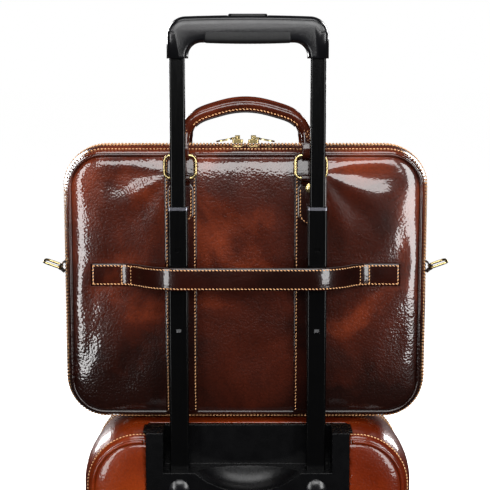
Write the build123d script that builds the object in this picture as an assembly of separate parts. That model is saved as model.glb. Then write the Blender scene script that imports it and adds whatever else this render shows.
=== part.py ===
"""Rolling laptop case: a leather laptop bag strapped to the telescopic handle of a wheeled leather case.

Frame: millimetres, +Z up, floor at Z = 0. X = 0 is the middle of the trolley handle, Y = 0 the middle
of the wheeled case. The handle stands at the back, on the -Y side; the case opens at the front, +Y.
"""
from build123d import *
import os
from math import sqrt

# ---------------------------------------------------------------- clearances shared by the fits
SOFT_GAP = 0.3          # between soft parts on different bodies
FIT_GAP = 0.3           # around a plastic part let into leather
SLIDE_GAP = 0.15        # each side of a tube in its guide
PIN_GAP = 0.05          # radial, a pin turning in its bore
CUT_PAST = 5.0          # how far a cutting tool runs past the face it opens

# ---------------------------------------------------------------- wheeled case
CASE_WIDTH = 386.0
CASE_DEPTH = 200.0
CASE_BASE_Z = 42.0
CASE_TOP_Z = 513.0
CASE_TOP_RADIUS = 65.0
CASE_BASE_RADIUS = 40.0
CASE_EDGE_RADIUS = 9.0
CASE_WALL = 3.5
LID_DEPTH = 52.0
LID_GAP = 3.3
CASE_BACK_Y = -CASE_DEPTH / 2
CASE_FRONT_Y = CASE_DEPTH / 2
LID_BACK_Y = CASE_FRONT_Y - LID_DEPTH
SHELL_FRONT_Y = LID_BACK_Y - LID_GAP

# ---------------------------------------------------------------- telescopic handle
TUBE_INSET = 20.0
TUBE_SPACING = 160.6
TUBE_Y = CASE_BACK_Y + TUBE_INSET
OUTER_TUBE = (27.0, 17.5)
MIDDLE_TUBE = (22.7, 13.0)
INNER_TUBE = (18.0, 9.6)
OUTER_WALL = 1.6
MIDDLE_WALL = 1.5
INNER_WALL = 1.2
TUBE_CORNER = 2.5
OUTER_TUBE_BASE_Z = 62.0
MIDDLE_TUBE_BASE_Z = 407.0
MIDDLE_TUBE_TOP_Z = 775.0
INNER_TUBE_BASE_Z = 625.0
COLLAR_HEIGHT = 3.5
COLLAR_PROUD = 0.3

LOCK_HOLE = (6.5, 4.5)
LOCK_Z = 634.0
LOCK_SPACING = 95.0
LOCK_EDGE_GAP = 0.35
LOCK_PROUD = 0.4
LOCK_LENGTH = 4.9

# ---------------------------------------------------------------- grip and its release
GRIP_PAST_TUBE = 11.7
GRIP_WIDTH = TUBE_SPACING + 2 * GRIP_PAST_TUBE
GRIP_DEPTH = 24.0
GRIP_TOP_Z = 996.5
GRIP_UNDER_Z = 965.7
SLEEVE_BASE_Z = 948.0
SLEEVE_WIDTH = 24.5
GRIP_OUTER_RADIUS = 21.0
GRIP_INNER_RADIUS = 13.0
GRIP_EDGE_RADIUS = 4.0
SOCKET_TOP_Z = 962.0
INSERT_LENGTH = 98.0
INSERT_TOP_Z = 981.0
INSERT_SKIN = 3.0
INSERT_PROUD = 0.4
INSERT_EDGE_RADIUS = 1.2

BUTTON_LENGTH = 45.0
BUTTON_WIDTH = 12.0
BUTTON_HEIGHT = 9.5
BUTTON_PROUD = 1.5
BUTTON_TRAVEL = 4.0
BUTTON_GAP = 0.4
STEM = (20.0, 5.0)
YOKE_TOP_Z = 981.0
YOKE_HEIGHT = 4.0
YOKE_WIDTH = 5.0
YOKE_ROOM = 0.6
ROD_RADIUS = 2.0

# ---------------------------------------------------------------- handle housing
RECESS_PAST_TUBE = 18.7
RECESS_WIDTH = TUBE_SPACING + 2 * RECESS_PAST_TUBE
HOUSING_SIDE = 20.0
HOUSING_WIDTH = RECESS_WIDTH + 2 * HOUSING_SIDE
HOUSING_DEPTH = 46.0
HOUSING_BASE_Z = 410.0
HOUSING_TOP_Z = 515.0
HOUSING_FLANGE = 4.0
RECESS_DEPTH = 38.0
RECESS_FLOOR_Z = 467.0
SOCKET_LEDGE = 4.0
POST_WALL = 3.0
SCOOP_RADIUS = 95.0
SCOOP_DEPTH = 30.0
SCOOP_DROP = 23.0
CAP_RADIUS = 13.0
CAP_RISE = 4.0
CAP_Z = 447.0

# ---------------------------------------------------------------- wheels, feet and base
WHEEL_RADIUS = 27.0
WHEEL_WIDTH = 20.0
TYRE_THICKNESS = 7.0
TYRE_EDGE_RADIUS = 3.0
HUB_WIDTH = 16.0
HUB_BOSS_WIDTH = 23.0
HUB_BOSS_RADIUS = 6.5
HUB_RIM = 3.0
HUB_WEB_RECESS = 4.0
WHEEL_FROM_SIDE = 41.0
WHEEL_SPACING = CASE_WIDTH - 2 * WHEEL_FROM_SIDE
WHEEL_PAST_BACK = 2.0
AXLE_RADIUS = 3.0
AXLE_HEAD = (5.0, 2.0)
POD_WIDTH = 54.0
POD_TOP_Z = 70.0
POD_BASE_Z = 16.0
POD_WHEEL_ROOM = 3.0
POD_FRONT_WALL = 3.0
POD_SLOT_GAP = 1.0
BASE_PLATE_THICKNESS = 3.5
BASE_PLATE_FROM_SIDE = 23.0
BASE_PLATE_WIDTH = CASE_WIDTH - 2 * BASE_PLATE_FROM_SIDE
BASE_PLATE_EDGE = 12.0
FOOT_LENGTH = 40.0
FOOT_WIDTH = 34.0
FOOT_TAPER = 6.0
FOOT_EDGE_RADIUS = 3.0
BOARD_THICKNESS = 3.0
BOARD_BEHIND_TUBE = 16.0
BRACKET_TOP_Z = 80.0
BRACKET_SIDE = 8.0

# ---------------------------------------------------------------- laptop bag
BAG_X = -2.5
BAG_WIDTH = 434.0
BAG_BASE_Z = 517.0
BAG_TOP_Z = 847.0
BAG_CORNER_RADIUS = 50.0
BAG_EDGE_RADIUS = 13.0
BAG_WALL = 3.0
BAG_HALF_DEPTH = 46.0
BAG_ZIP_DEPTH = 2.7
BAG_ZIP_INSET = 1.0
BAG_ZIP_BAND = 7.0
PANEL_FROM_TUBE = 22.0
BAG_BACK_Y = TUBE_Y + PANEL_FROM_TUBE
ZIP_BACK_Y = BAG_BACK_Y + BAG_HALF_DEPTH
BAG_FRONT_BACK_Y = ZIP_BACK_Y + BAG_ZIP_DEPTH + SOFT_GAP
BAG_FRONT_Y = BAG_FRONT_BACK_Y + BAG_HALF_DEPTH
BAG_MIRROR_Y = (BAG_BACK_Y + BAG_FRONT_Y) / 2

SLEEVE_SIDE_ROOM = 22.0
SLEEVE_TOP_ROOM = 51.0
SLEEVE_POCKET_DEPTH = 22.0
SLEEVE_WALL = 5.0
SLEEVE_LIFT = 11.0
SLEEVE_CORNER_RADIUS = 22.0

STRAP_SPACING = 152.0
STRAP_WIDTH = 38.0
STRAP_THICKNESS = 2.0
STRAP_END_GAP = 11.0

TROLLEY_STRAP_Z = 696.2
TROLLEY_STRAP_WIDTH = 26.5
TROLLEY_STRAP_THICKNESS = 4.0
TROLLEY_STRAP_SEWN = 50.0
TROLLEY_STRAP_PAST_TUBE = 23.7
TROLLEY_STRAP_LOOP = TUBE_SPACING + 2 * TROLLEY_STRAP_PAST_TUBE
TROLLEY_STRAP_SLOPE = 28.0
TROLLEY_STRAP_LENGTH = TROLLEY_STRAP_LOOP + 2 * (TROLLEY_STRAP_SLOPE + TROLLEY_STRAP_SEWN)
TROLLEY_STRAP_BEND = 16.0
STRAP_TO_GRIP = 0.9

# ---------------------------------------------------------------- rings, chapes and carry handles
RING_WIDTH = 40.0
RING_HEIGHT = 30.0
RING_WIRE = 3.8
RING_CORNER = 7.0
RING_BASE_Z = 808.5
RING_FROM_PANEL = 5.6
LOOP_WIDTH = 21.0
LOOP_TO_GRIP = 0.6
CHAPE_WIDTH = 31.0
CHAPE_BASE_Z = 754.0
CHAPE_THICKNESS = 2.0
CHAPE_LOOP_Z = (804.0, 831.5)
RIVET_RADIUS = 6.0
RIVET_RISE = 2.0
RIVET_BELOW_RING = 11.5

HANDLE_DIAMETER = 14.0
HANDLE_ARM_BASE_Z = 849.0
HANDLE_SHOULDER = (66.5, 880.0)
HANDLE_CROWN_Z = 900.0
HANDLE_SHOULDER_RADIUS = 30.0
HANDLE_CROWN_RADIUS = 100.0
HANDLE_FROM_PANEL = 2.0
HANDLE_TAB_TOP_Z = 860.0

# ---------------------------------------------------------------- zip sliders and side rings
SLIDER_LENGTH = 13.0
SLIDER_WIDTH = 8.0
SLIDER_HEIGHT = 4.4
SLIDER_LIFT = 0.8
SLIDER_SPACING = 19.0
SLIDER_BRIDGE = (6.0, 5.0)
PULL_WIRE = 1.6
PULL_LINK = (9.0, 12.4)
PULL_PIN_ROOM = (1.92, 6.0, 3.2)
PULL_TAB = (20.0, 12.0, 1.6)
PULL_TAB_SIDE = 8.0
PULL_DROP_DEG = 10.0
CASE_SLIDER_X = 70.0
CASE_SLIDER_HEIGHT = 4.0
CASE_SLIDER_LIFT = 0.5
CASE_PULL_LENGTH = 26.0

SIDE_RING_Z = 701.0
SIDE_RING_FROM_PANEL = 30.0
SIDE_RING = (26.0, 24.0)
SIDE_RING_CORNER = 9.0
SIDE_RING_WIRE = 3.0
SIDE_RING_RISE_DEG = 20.0
SIDE_TAB = (8.0, 13.0, 16.0)

SIDES = {"L": -1, "R": 1}


# ---------------------------------------------------------------- helpers
def prism_x(sketch, x_low, x_high):
    """A sketch drawn in Y and Z, run along X."""
    return Pos(x_low, 0, 0) * extrude(Plane.YZ * sketch, amount=x_high - x_low)


def prism_y(sketch, y_low, y_high):
    """A sketch drawn in X and Z, run along Y."""
    return Pos(0, y_low, 0) * extrude(Plane.XZ * sketch, amount=y_low - y_high)


def prism_z(sketch, z_low, z_high):
    """A sketch drawn in X and Y, run along Z."""
    return Pos(0, 0, z_low) * extrude(sketch, amount=z_high - z_low)


def block(x_low, x_high, y_low, y_high, z_low, z_high):
    """A plain box between two corners."""
    size = Box(x_high - x_low, y_high - y_low, z_high - z_low)
    return Pos((x_low + x_high) / 2, (y_low + y_high) / 2, (z_low + z_high) / 2) * size


def outline(width, z_low, z_high, low_radius, high_radius, inset=0.0):
    """Upright rounded outline in X and Z, drawn in by the inset."""
    height = z_high - z_low - 2 * inset
    face = Pos(0, (z_low + z_high) / 2) * Rectangle(width - 2 * inset, height)
    face = fillet(face.vertices().group_by(Axis.Y)[-1], high_radius - inset)
    return fillet(face.vertices().group_by(Axis.Y)[0], low_radius - inset)


def cushion(make_outline, inset, y_closed, y_open, edge_radius):
    """A solid outline drawn in by the inset, with its closed Y face rounded at the edge."""
    body = prism_y(make_outline(inset), min(y_closed, y_open), max(y_closed, y_open))
    closed_face = 0 if y_closed < y_open else -1
    return fillet(body.faces().sort_by(Axis.Y)[closed_face].edges(), edge_radius)


def tray(make_outline, y_closed, y_open, wall, edge_radius):
    """A shell closed at one Y face and open at the other, with a rounded closed edge."""
    way = 1 if y_closed < y_open else -1
    outer = cushion(make_outline, 0.0, y_closed, y_open, edge_radius)
    return outer - cushion(make_outline, wall, y_closed + way * wall, y_open + way * CUT_PAST,
                           edge_radius - wall)


def tube_section(size, wall=0.0):
    """Rounded tube section drawn in by the wall."""
    return RectangleRounded(size[0] - 2 * wall, size[1] - 2 * wall, TUBE_CORNER - wall)


def tube(size, wall, z_low, z_high):
    """A hollow tube on the Z axis."""
    return prism_z(tube_section(size) - tube_section(size, wall), z_low, z_high)


def at_tube(side):
    """Where a tube on this side stands."""
    return Pos(side * TUBE_SPACING / 2, TUBE_Y, 0)


def wire_ring(width, height, corner, wire):
    """A closed rounded ring of round wire in X and Z; its lowest bar lies on the X axis."""
    face = Pos(0, (height - wire) / 2) * RectangleRounded(width - wire, height - wire, corner)
    path = (Plane.XZ * face).faces()[0].outer_wire()
    section = Plane(path @ 0, z_dir=path % 0) * Circle(wire / 2)
    return sweep(section, path=path)


def save(shapes):
    """Write each named solid as one STEP file."""
    os.makedirs("parts", exist_ok=True)
    for name, shape in shapes.items():
        export_step(shape, f"parts/{name}.step")


# ---------------------------------------------------------------- wheeled case
def case_outline(inset=0.0):
    return outline(CASE_WIDTH, CASE_BASE_Z, CASE_TOP_Z, CASE_BASE_RADIUS, CASE_TOP_RADIUS, inset)


def pod_block(side, gap=0.0):
    """Outer block of a wheel housing, from the back face forwards."""
    half = POD_WIDTH / 2 + gap
    middle = side * WHEEL_SPACING / 2
    front = AXLE_Y + WHEEL_RADIUS + POD_WHEEL_ROOM + POD_FRONT_WALL + gap
    return block(middle - half, middle + half, CASE_BACK_Y - gap, front, POD_BASE_Z - gap, POD_TOP_Z + gap)


AXLE_Y = CASE_BACK_Y - WHEEL_PAST_BACK + WHEEL_RADIUS
HOUSING_BACK_Y = CASE_BACK_Y + HOUSING_DEPTH


def case_shell():
    """Back panel, sides, top and base of the wheeled case, open to the front."""
    shell = tray(case_outline, CASE_BACK_Y, SHELL_FRONT_Y, CASE_WALL, CASE_EDGE_RADIUS)
    half = HOUSING_WIDTH / 2 + FIT_GAP
    shell -= block(-half, half, CASE_BACK_Y - CUT_PAST, HOUSING_BACK_Y + FIT_GAP,
                   HOUSING_BASE_Z - FIT_GAP, CASE_TOP_Z + CUT_PAST)
    for side in SIDES.values():
        shell -= pod_block(side, FIT_GAP)
    return shell


def lid_shell():
    """The front lid, a shallow tray that closes on the case."""
    return tray(case_outline, CASE_FRONT_Y, LID_BACK_Y, CASE_WALL, CASE_EDGE_RADIUS)


def tube_board():
    """Board inside the back, which covers the handle's tubes."""
    front = TUBE_Y + BOARD_BEHIND_TUBE
    board = prism_y(case_outline(CASE_WALL + FIT_GAP), front, front + BOARD_THICKNESS)
    board &= block(-CASE_WIDTH, CASE_WIDTH, CASE_BACK_Y, CASE_FRONT_Y, 0, HOUSING_BASE_Z - FIT_GAP)
    for side in SIDES.values():
        board -= pod_block(side, FIT_GAP)
    return board


def base_plate():
    """Moulded plate under the case, between the wheel housings and the feet."""
    half = BASE_PLATE_WIDTH / 2
    low = CASE_BASE_Z - BASE_PLATE_THICKNESS
    plate = block(-half, half, CASE_BACK_Y + BASE_PLATE_EDGE, SHELL_FRONT_Y - BASE_PLATE_EDGE / 2,
                  low, CASE_BASE_Z)
    plate = fillet(plate.edges().filter_by(Axis.Z), BASE_PLATE_EDGE)
    plate &= block(-CASE_WIDTH / 2 + CASE_BASE_RADIUS, CASE_WIDTH / 2 - CASE_BASE_RADIUS,
                   CASE_BACK_Y, CASE_FRONT_Y, low, CASE_BASE_Z)
    for side in SIDES.values():
        plate -= pod_block(side, FIT_GAP)
    return plate


def foot(side):
    """Front foot, tapering to the floor."""
    x_mid = side * (CASE_WIDTH / 2 - CASE_BASE_RADIUS - FOOT_WIDTH / 2)
    y_mid = SHELL_FRONT_Y - BASE_PLATE_EDGE - FOOT_LENGTH / 2
    top = CASE_BASE_Z - BASE_PLATE_THICKNESS
    upper = Pos(0, 0, top) * RectangleRounded(FOOT_WIDTH, FOOT_LENGTH, FOOT_TAPER)
    lower = RectangleRounded(FOOT_WIDTH - FOOT_TAPER, FOOT_LENGTH - FOOT_TAPER, FOOT_EDGE_RADIUS)
    return Pos(x_mid, y_mid, 0) * loft([lower, upper])


def tube_bracket():
    """Block on the case floor that holds the feet of the two outer tubes."""
    half = TUBE_SPACING / 2 + OUTER_TUBE[0] / 2 + BRACKET_SIDE
    back = CASE_BACK_Y + CASE_WALL + FIT_GAP
    front = TUBE_Y + BOARD_BEHIND_TUBE - FIT_GAP
    body = block(-half, half, back, front, CASE_BASE_Z + CASE_WALL, BRACKET_TOP_Z)
    body = fillet(body.edges().filter_by(Axis.Y).group_by(Axis.Z)[-1], BRACKET_SIDE / 2)
    inner_edge = CASE_EDGE_RADIUS - CASE_WALL
    body &= cushion(case_outline, CASE_WALL, CASE_BACK_Y + CASE_WALL, SHELL_FRONT_Y, inner_edge)
    for side in SIDES.values():
        body -= at_tube(side) * prism_z(tube_section(OUTER_TUBE), OUTER_TUBE_BASE_Z, BRACKET_TOP_Z + CUT_PAST)
    return body


def case_slider():
    """Zip slider of the case with its pull lying along the zip."""
    low = CASE_TOP_Z + CASE_SLIDER_LIFT
    body = Box(SLIDER_LENGTH, SLIDER_WIDTH, CASE_SLIDER_HEIGHT)
    body = fillet(body.edges().filter_by(Axis.Z), SLIDER_WIDTH / 4)
    pull = SlotOverall(CASE_PULL_LENGTH, PULL_TAB[1] / 2)
    pull = Pos(CASE_PULL_LENGTH / 2, 0, CASE_SLIDER_HEIGHT / 2 - PULL_TAB[2]) * extrude(pull, PULL_TAB[2])
    zip_y = (SHELL_FRONT_Y + LID_BACK_Y) / 2
    return Pos(CASE_SLIDER_X, zip_y, low + CASE_SLIDER_HEIGHT / 2) * (body + pull)


# ---------------------------------------------------------------- wheels
def wheel_pod(side):
    """Wheel housing: two cheeks that hold the axle, and an arch over the wheel."""
    front = AXLE_Y + WHEEL_RADIUS + POD_WHEEL_ROOM + POD_FRONT_WALL
    chamfer = WHEEL_RADIUS / 2
    profile = Polygon((CASE_BACK_Y, POD_BASE_Z + chamfer), (CASE_BACK_Y + chamfer, POD_BASE_Z),
                      (front - chamfer, POD_BASE_Z), (front, POD_BASE_Z + chamfer),
                      (front, POD_TOP_Z), (CASE_BACK_Y, POD_TOP_Z), align=None)
    middle = side * WHEEL_SPACING / 2
    pod = prism_x(profile, middle - POD_WIDTH / 2, middle + POD_WIDTH / 2)
    slot = HUB_BOSS_WIDTH / 2 + POD_SLOT_GAP
    arch = Pos(AXLE_Y, WHEEL_RADIUS) * Circle(WHEEL_RADIUS + POD_WHEEL_ROOM)
    pod -= prism_x(arch, middle - slot, middle + slot)
    bore = Pos(AXLE_Y, WHEEL_RADIUS) * Circle(AXLE_RADIUS)
    return pod - prism_x(bore, middle - POD_WIDTH, middle + POD_WIDTH)


def on_axle(side, solid):
    """Move a solid made about the X axis to its wheel."""
    return Pos(side * WHEEL_SPACING / 2, AXLE_Y, WHEEL_RADIUS) * solid


def disc_x(radius, width):
    """A cylinder about the X axis, centred."""
    return prism_x(Circle(radius), -width / 2, width / 2)


def tyre(side):
    """Rubber tread ring."""
    ring = fillet(disc_x(WHEEL_RADIUS, WHEEL_WIDTH).edges().filter_by(GeomType.CIRCLE), TYRE_EDGE_RADIUS)
    return on_axle(side, ring - disc_x(WHEEL_RADIUS - TYRE_THICKNESS, WHEEL_WIDTH + CUT_PAST))


def hub(side):
    """Plastic hub with a boss that runs on the axle and a recessed web."""
    radius = WHEEL_RADIUS - TYRE_THICKNESS
    body = disc_x(radius, HUB_WIDTH) + disc_x(HUB_BOSS_RADIUS, HUB_BOSS_WIDTH)
    groove = Circle(radius - HUB_RIM) - Circle(HUB_BOSS_RADIUS)
    for face in SIDES.values():
        edge = face * HUB_WIDTH / 2
        low, high = sorted((edge - face * HUB_WEB_RECESS, edge + face * CUT_PAST))
        body -= prism_x(groove, low, high)
    return on_axle(side, body - disc_x(AXLE_RADIUS + PIN_GAP, HUB_BOSS_WIDTH + CUT_PAST))


def axle(side):
    """Steel axle with a head against each cheek."""
    radius, thickness = AXLE_HEAD
    body = disc_x(AXLE_RADIUS, POD_WIDTH)
    for end in SIDES.values():
        body += Pos(end * (POD_WIDTH + thickness) / 2, 0, 0) * disc_x(radius, thickness)
    return on_axle(side, body)


# ---------------------------------------------------------------- handle housing
def trolley_housing():
    """Recessed plastic housing in the case's back, with a finger scoop under its front lip."""
    half = HOUSING_WIDTH / 2
    body = block(-half, half, CASE_BACK_Y, HOUSING_BACK_Y, HOUSING_BASE_Z, HOUSING_TOP_Z)
    body += block(-half - HOUSING_FLANGE, half + HOUSING_FLANGE, CASE_BACK_Y + CASE_EDGE_RADIUS,
                  HOUSING_BACK_Y + HOUSING_FLANGE, CASE_TOP_Z, HOUSING_TOP_Z)
    body = fillet(body.edges().filter_by(Axis.Y).group_by(Axis.Z)[0], CASE_EDGE_RADIUS)
    body -= block(-RECESS_WIDTH / 2, RECESS_WIDTH / 2, CASE_BACK_Y - CUT_PAST, CASE_BACK_Y + RECESS_DEPTH,
                  RECESS_FLOOR_Z, HOUSING_TOP_Z + CUT_PAST)
    half_width = sqrt(SCOOP_RADIUS ** 2 - (SCOOP_RADIUS - SCOOP_DROP) ** 2)
    scoop = scale(Sphere(SCOOP_RADIUS), by=(1, SCOOP_DEPTH / half_width, 1))
    scoop = Pos(0, CASE_BACK_Y, RECESS_FLOOR_Z - SCOOP_DROP + SCOOP_RADIUS) * scoop
    body -= scoop & block(-half, half, CASE_BACK_Y - HOUSING_DEPTH, HOUSING_BACK_Y, HOUSING_BASE_Z,
                          RECESS_FLOOR_Z)
    for side in SIDES.values():
        body -= at_tube(side) * prism_z(tube_section(OUTER_TUBE), HOUSING_BASE_Z - CUT_PAST,
                                        RECESS_FLOOR_Z - SOCKET_LEDGE)
        guide = (MIDDLE_TUBE[0] + 2 * SLIDE_GAP, MIDDLE_TUBE[1] + 2 * SLIDE_GAP)
        body -= at_tube(side) * prism_z(tube_section(guide), HOUSING_BASE_Z, RECESS_FLOOR_Z + CUT_PAST)
        inner, outer = sorted((side * (RECESS_WIDTH / 2 + POST_WALL), side * (half - POST_WALL)))
        body -= block(inner, outer, CASE_BACK_Y + POST_WALL, HOUSING_BACK_Y - POST_WALL,
                      HOUSING_BASE_Z - CUT_PAST, HOUSING_TOP_Z - POST_WALL)
    return body


def screw_cap(side):
    """Domed cap over a housing screw, below a tube."""
    ball = (CAP_RADIUS ** 2 + CAP_RISE ** 2) / (2 * CAP_RISE)
    dome = Pos(side * TUBE_SPACING / 2, CASE_BACK_Y - CAP_RISE + ball, CAP_Z) * Sphere(ball)
    return dome & block(-CASE_WIDTH, CASE_WIDTH, CASE_BACK_Y - CAP_RISE, CASE_BACK_Y, 0, CASE_TOP_Z)


# ---------------------------------------------------------------- telescopic handle
def outer_tube(side):
    return at_tube(side) * tube(OUTER_TUBE, OUTER_WALL, OUTER_TUBE_BASE_Z, RECESS_FLOOR_Z - SOCKET_LEDGE)


def lock_hole(size, face_depth, z):
    """Cutter for a lock window in the back wall of a tube."""
    half_x, half_z = LOCK_HOLE[0] / 2, LOCK_HOLE[1] / 2
    return block(-half_x, half_x, -size[1] / 2 - CUT_PAST, -size[1] / 2 + face_depth, z - half_z, z + half_z)


def middle_tube(side):
    """Middle stage, with a lock window at each of the handle's two heights."""
    body = tube(MIDDLE_TUBE, MIDDLE_WALL, MIDDLE_TUBE_BASE_Z, MIDDLE_TUBE_TOP_Z)
    for z in (LOCK_Z, LOCK_Z + LOCK_SPACING):
        body -= lock_hole(MIDDLE_TUBE, 2 * MIDDLE_WALL, z)
    return at_tube(side) * body


def collar(side):
    """Rim on the middle stage that guides the inner one."""
    outer = (MIDDLE_TUBE[0] + 2 * COLLAR_PROUD, MIDDLE_TUBE[1] + 2 * COLLAR_PROUD)
    inner = (INNER_TUBE[0] + 2 * SLIDE_GAP, INNER_TUBE[1] + 2 * SLIDE_GAP)
    ring = tube_section(outer) - tube_section(inner)
    return at_tube(side) * prism_z(ring, MIDDLE_TUBE_TOP_Z, MIDDLE_TUBE_TOP_Z + COLLAR_HEIGHT)


def inner_tube(side):
    """Inner stage, with a window for its lock tongue."""
    body = tube(INNER_TUBE, INNER_WALL, INNER_TUBE_BASE_Z, SOCKET_TOP_Z)
    return at_tube(side) * (body - lock_hole(INNER_TUBE, 2 * INNER_WALL, LOCK_Z))


def lock_tongue(side):
    """Sprung tongue that shows in the middle stage's window."""
    half_x, half_z = LOCK_HOLE[0] / 2 - LOCK_EDGE_GAP, LOCK_HOLE[1] / 2 - LOCK_EDGE_GAP
    back = -INNER_TUBE[1] / 2 - LOCK_PROUD / 2
    body = block(-half_x, half_x, back, back + LOCK_LENGTH, LOCK_Z - half_z, LOCK_Z + half_z)
    return at_tube(side) * body


def grip_outline():
    """U-shaped grip in X and Z: a bar with a sleeve down each tube."""
    bar = outline(GRIP_WIDTH, SLEEVE_BASE_Z, GRIP_TOP_Z, GRIP_EDGE_RADIUS, GRIP_OUTER_RADIUS)
    gap = outline(GRIP_WIDTH - 2 * SLEEVE_WIDTH, SLEEVE_BASE_Z - 2 * GRIP_INNER_RADIUS, GRIP_UNDER_Z,
                  GRIP_EDGE_RADIUS, GRIP_INNER_RADIUS)
    return bar - gap


def insert_block(extra=0.0):
    """Outer block of the soft insert on the lower half of the bar."""
    half_x = INSERT_LENGTH / 2
    half_y = GRIP_DEPTH / 2 + INSERT_PROUD
    return Pos(0, TUBE_Y, 0) * block(-half_x, half_x, -half_y, half_y,
                                     GRIP_UNDER_Z - INSERT_PROUD - extra, INSERT_TOP_Z)


def insert_core():
    """Part of the grip that the soft insert wraps."""
    half_y = GRIP_DEPTH / 2 - INSERT_SKIN
    return Pos(0, TUBE_Y, 0) * block(-INSERT_LENGTH / 2, INSERT_LENGTH / 2, -half_y, half_y,
                                     GRIP_UNDER_Z + INSERT_SKIN, INSERT_TOP_Z)


def yoke_outline(room):
    """Release bar with a rod down each tube, seen from the back, grown by the room round it."""
    half = TUBE_SPACING / 2 + ROD_RADIUS
    middle = YOKE_TOP_Z - YOKE_HEIGHT / 2
    return Pos(0, middle) * Rectangle(2 * half + 2 * room, YOKE_HEIGHT + 2 * room)


def button_hollow():
    """Everything that the release needs inside the grip."""
    half_y = YOKE_WIDTH / 2 + YOKE_ROOM
    bar = prism_y(yoke_outline(YOKE_ROOM), -half_y, half_y)
    bar += Pos(0, 0, -BUTTON_TRAVEL) * bar
    floor = GRIP_TOP_Z + BUTTON_PROUD - BUTTON_HEIGHT - BUTTON_TRAVEL - YOKE_ROOM
    well = prism_z(SlotOverall(BUTTON_LENGTH + 2 * BUTTON_GAP, BUTTON_WIDTH + 2 * BUTTON_GAP),
                   floor, GRIP_TOP_Z + CUT_PAST)
    stem = prism_z(Rectangle(STEM[0] + 2 * YOKE_ROOM, STEM[1] + 2 * YOKE_ROOM), YOKE_TOP_Z, GRIP_TOP_Z)
    hollow = bar + well + stem
    for side in SIDES.values():
        shaft = prism_z(Circle(ROD_RADIUS + YOKE_ROOM), SLEEVE_BASE_Z, YOKE_TOP_Z)
        socket = prism_z(tube_section(INNER_TUBE), SLEEVE_BASE_Z - CUT_PAST, SOCKET_TOP_Z)
        hollow += Pos(side * TUBE_SPACING / 2, 0, 0) * (shaft + socket)
    return Pos(0, TUBE_Y, 0) * hollow


def grip_shell():
    """Hard body of the grip with its two sleeves."""
    half_y = GRIP_DEPTH / 2
    body = prism_y(grip_outline(), -half_y, half_y)
    rim = body.faces().sort_by(Axis.Y)
    body = fillet(rim[0].edges() + rim[-1].edges(), GRIP_EDGE_RADIUS)
    body = Pos(0, TUBE_Y, 0) * body
    return body - (insert_block(CUT_PAST) - insert_core()) - button_hollow()


def grip_insert():
    """Soft insert wrapped round the underside of the bar."""
    body = insert_block()
    body = fillet(body.edges().filter_by(Axis.X).group_by(Axis.Z)[0], GRIP_EDGE_RADIUS - INSERT_EDGE_RADIUS)
    return body - insert_core()


def release_button():
    """Push button in the top of the grip, with its stem."""
    top = GRIP_TOP_Z + BUTTON_PROUD
    body = prism_z(SlotOverall(BUTTON_LENGTH, BUTTON_WIDTH), top - BUTTON_HEIGHT, top)
    body = fillet(body.faces().sort_by(Axis.Z)[-1].edges(), BUTTON_PROUD)
    body += prism_z(Rectangle(*STEM), YOKE_TOP_Z, top - BUTTON_HEIGHT)
    return Pos(0, TUBE_Y, 0) * body


def release_yoke():
    """Bar under the button, with a push rod down each inner tube to its lock tongue."""
    half_y = YOKE_WIDTH / 2
    body = prism_y(yoke_outline(0.0), -half_y, half_y)
    rod_end = LOCK_Z + LOCK_HOLE[1] / 2 + BUTTON_TRAVEL + YOKE_ROOM
    for side in SIDES.values():
        rod = prism_z(Circle(ROD_RADIUS), rod_end, YOKE_TOP_Z - YOKE_HEIGHT)
        body += Pos(side * TUBE_SPACING / 2, 0, 0) * rod
    return Pos(0, TUBE_Y, 0) * body


# ---------------------------------------------------------------- laptop bag
def bag_outline(inset=0.0):
    return Pos(BAG_X, 0) * outline(BAG_WIDTH, BAG_BASE_Z, BAG_TOP_Z, BAG_CORNER_RADIUS,
                                   BAG_CORNER_RADIUS, inset)


def bag_back():
    """Back half of the bag, the one that hangs on the handle."""
    return tray(bag_outline, BAG_BACK_Y, ZIP_BACK_Y, BAG_WALL, BAG_EDGE_RADIUS)


def bag_front():
    """Front half of the bag."""
    return tray(bag_outline, BAG_FRONT_Y, BAG_FRONT_BACK_Y, BAG_WALL, BAG_EDGE_RADIUS)


def bag_zip():
    """Zip tape and coil round the bag between its halves."""
    ring = bag_outline(BAG_ZIP_INSET) - bag_outline(BAG_ZIP_INSET + BAG_ZIP_BAND)
    return prism_y(ring, ZIP_BACK_Y, ZIP_BACK_Y + BAG_ZIP_DEPTH)


def laptop_sleeve():
    """Padded pocket against the inside of the back half, open at its top."""
    low = BAG_BASE_Z + BAG_WALL + SLEEVE_LIFT
    top = BAG_TOP_Z - SLEEVE_TOP_ROOM
    back = BAG_BACK_Y + BAG_WALL + FIT_GAP
    half = BAG_WIDTH / 2 - SLEEVE_SIDE_ROOM
    outer = block(-half, half, back, back + SLEEVE_POCKET_DEPTH + 2 * SLEEVE_WALL, low, top)
    outer = fillet(outer.edges().filter_by(Axis.Y).group_by(Axis.Z)[0], SLEEVE_CORNER_RADIUS)
    pocket = block(SLEEVE_WALL - half, half - SLEEVE_WALL, back + SLEEVE_WALL,
                   back + SLEEVE_WALL + SLEEVE_POCKET_DEPTH, low + SLEEVE_WALL, top + CUT_PAST)
    pocket = fillet(pocket.edges().filter_by(Axis.Y).group_by(Axis.Z)[0], SLEEVE_CORNER_RADIUS - SLEEVE_WALL)
    return Pos(BAG_X, 0, 0) * (outer - pocket)


def to_front(shape):
    """The same piece on the front half of the bag."""
    return mirror(shape, about=Plane.XZ.offset(-BAG_MIRROR_Y))


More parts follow.
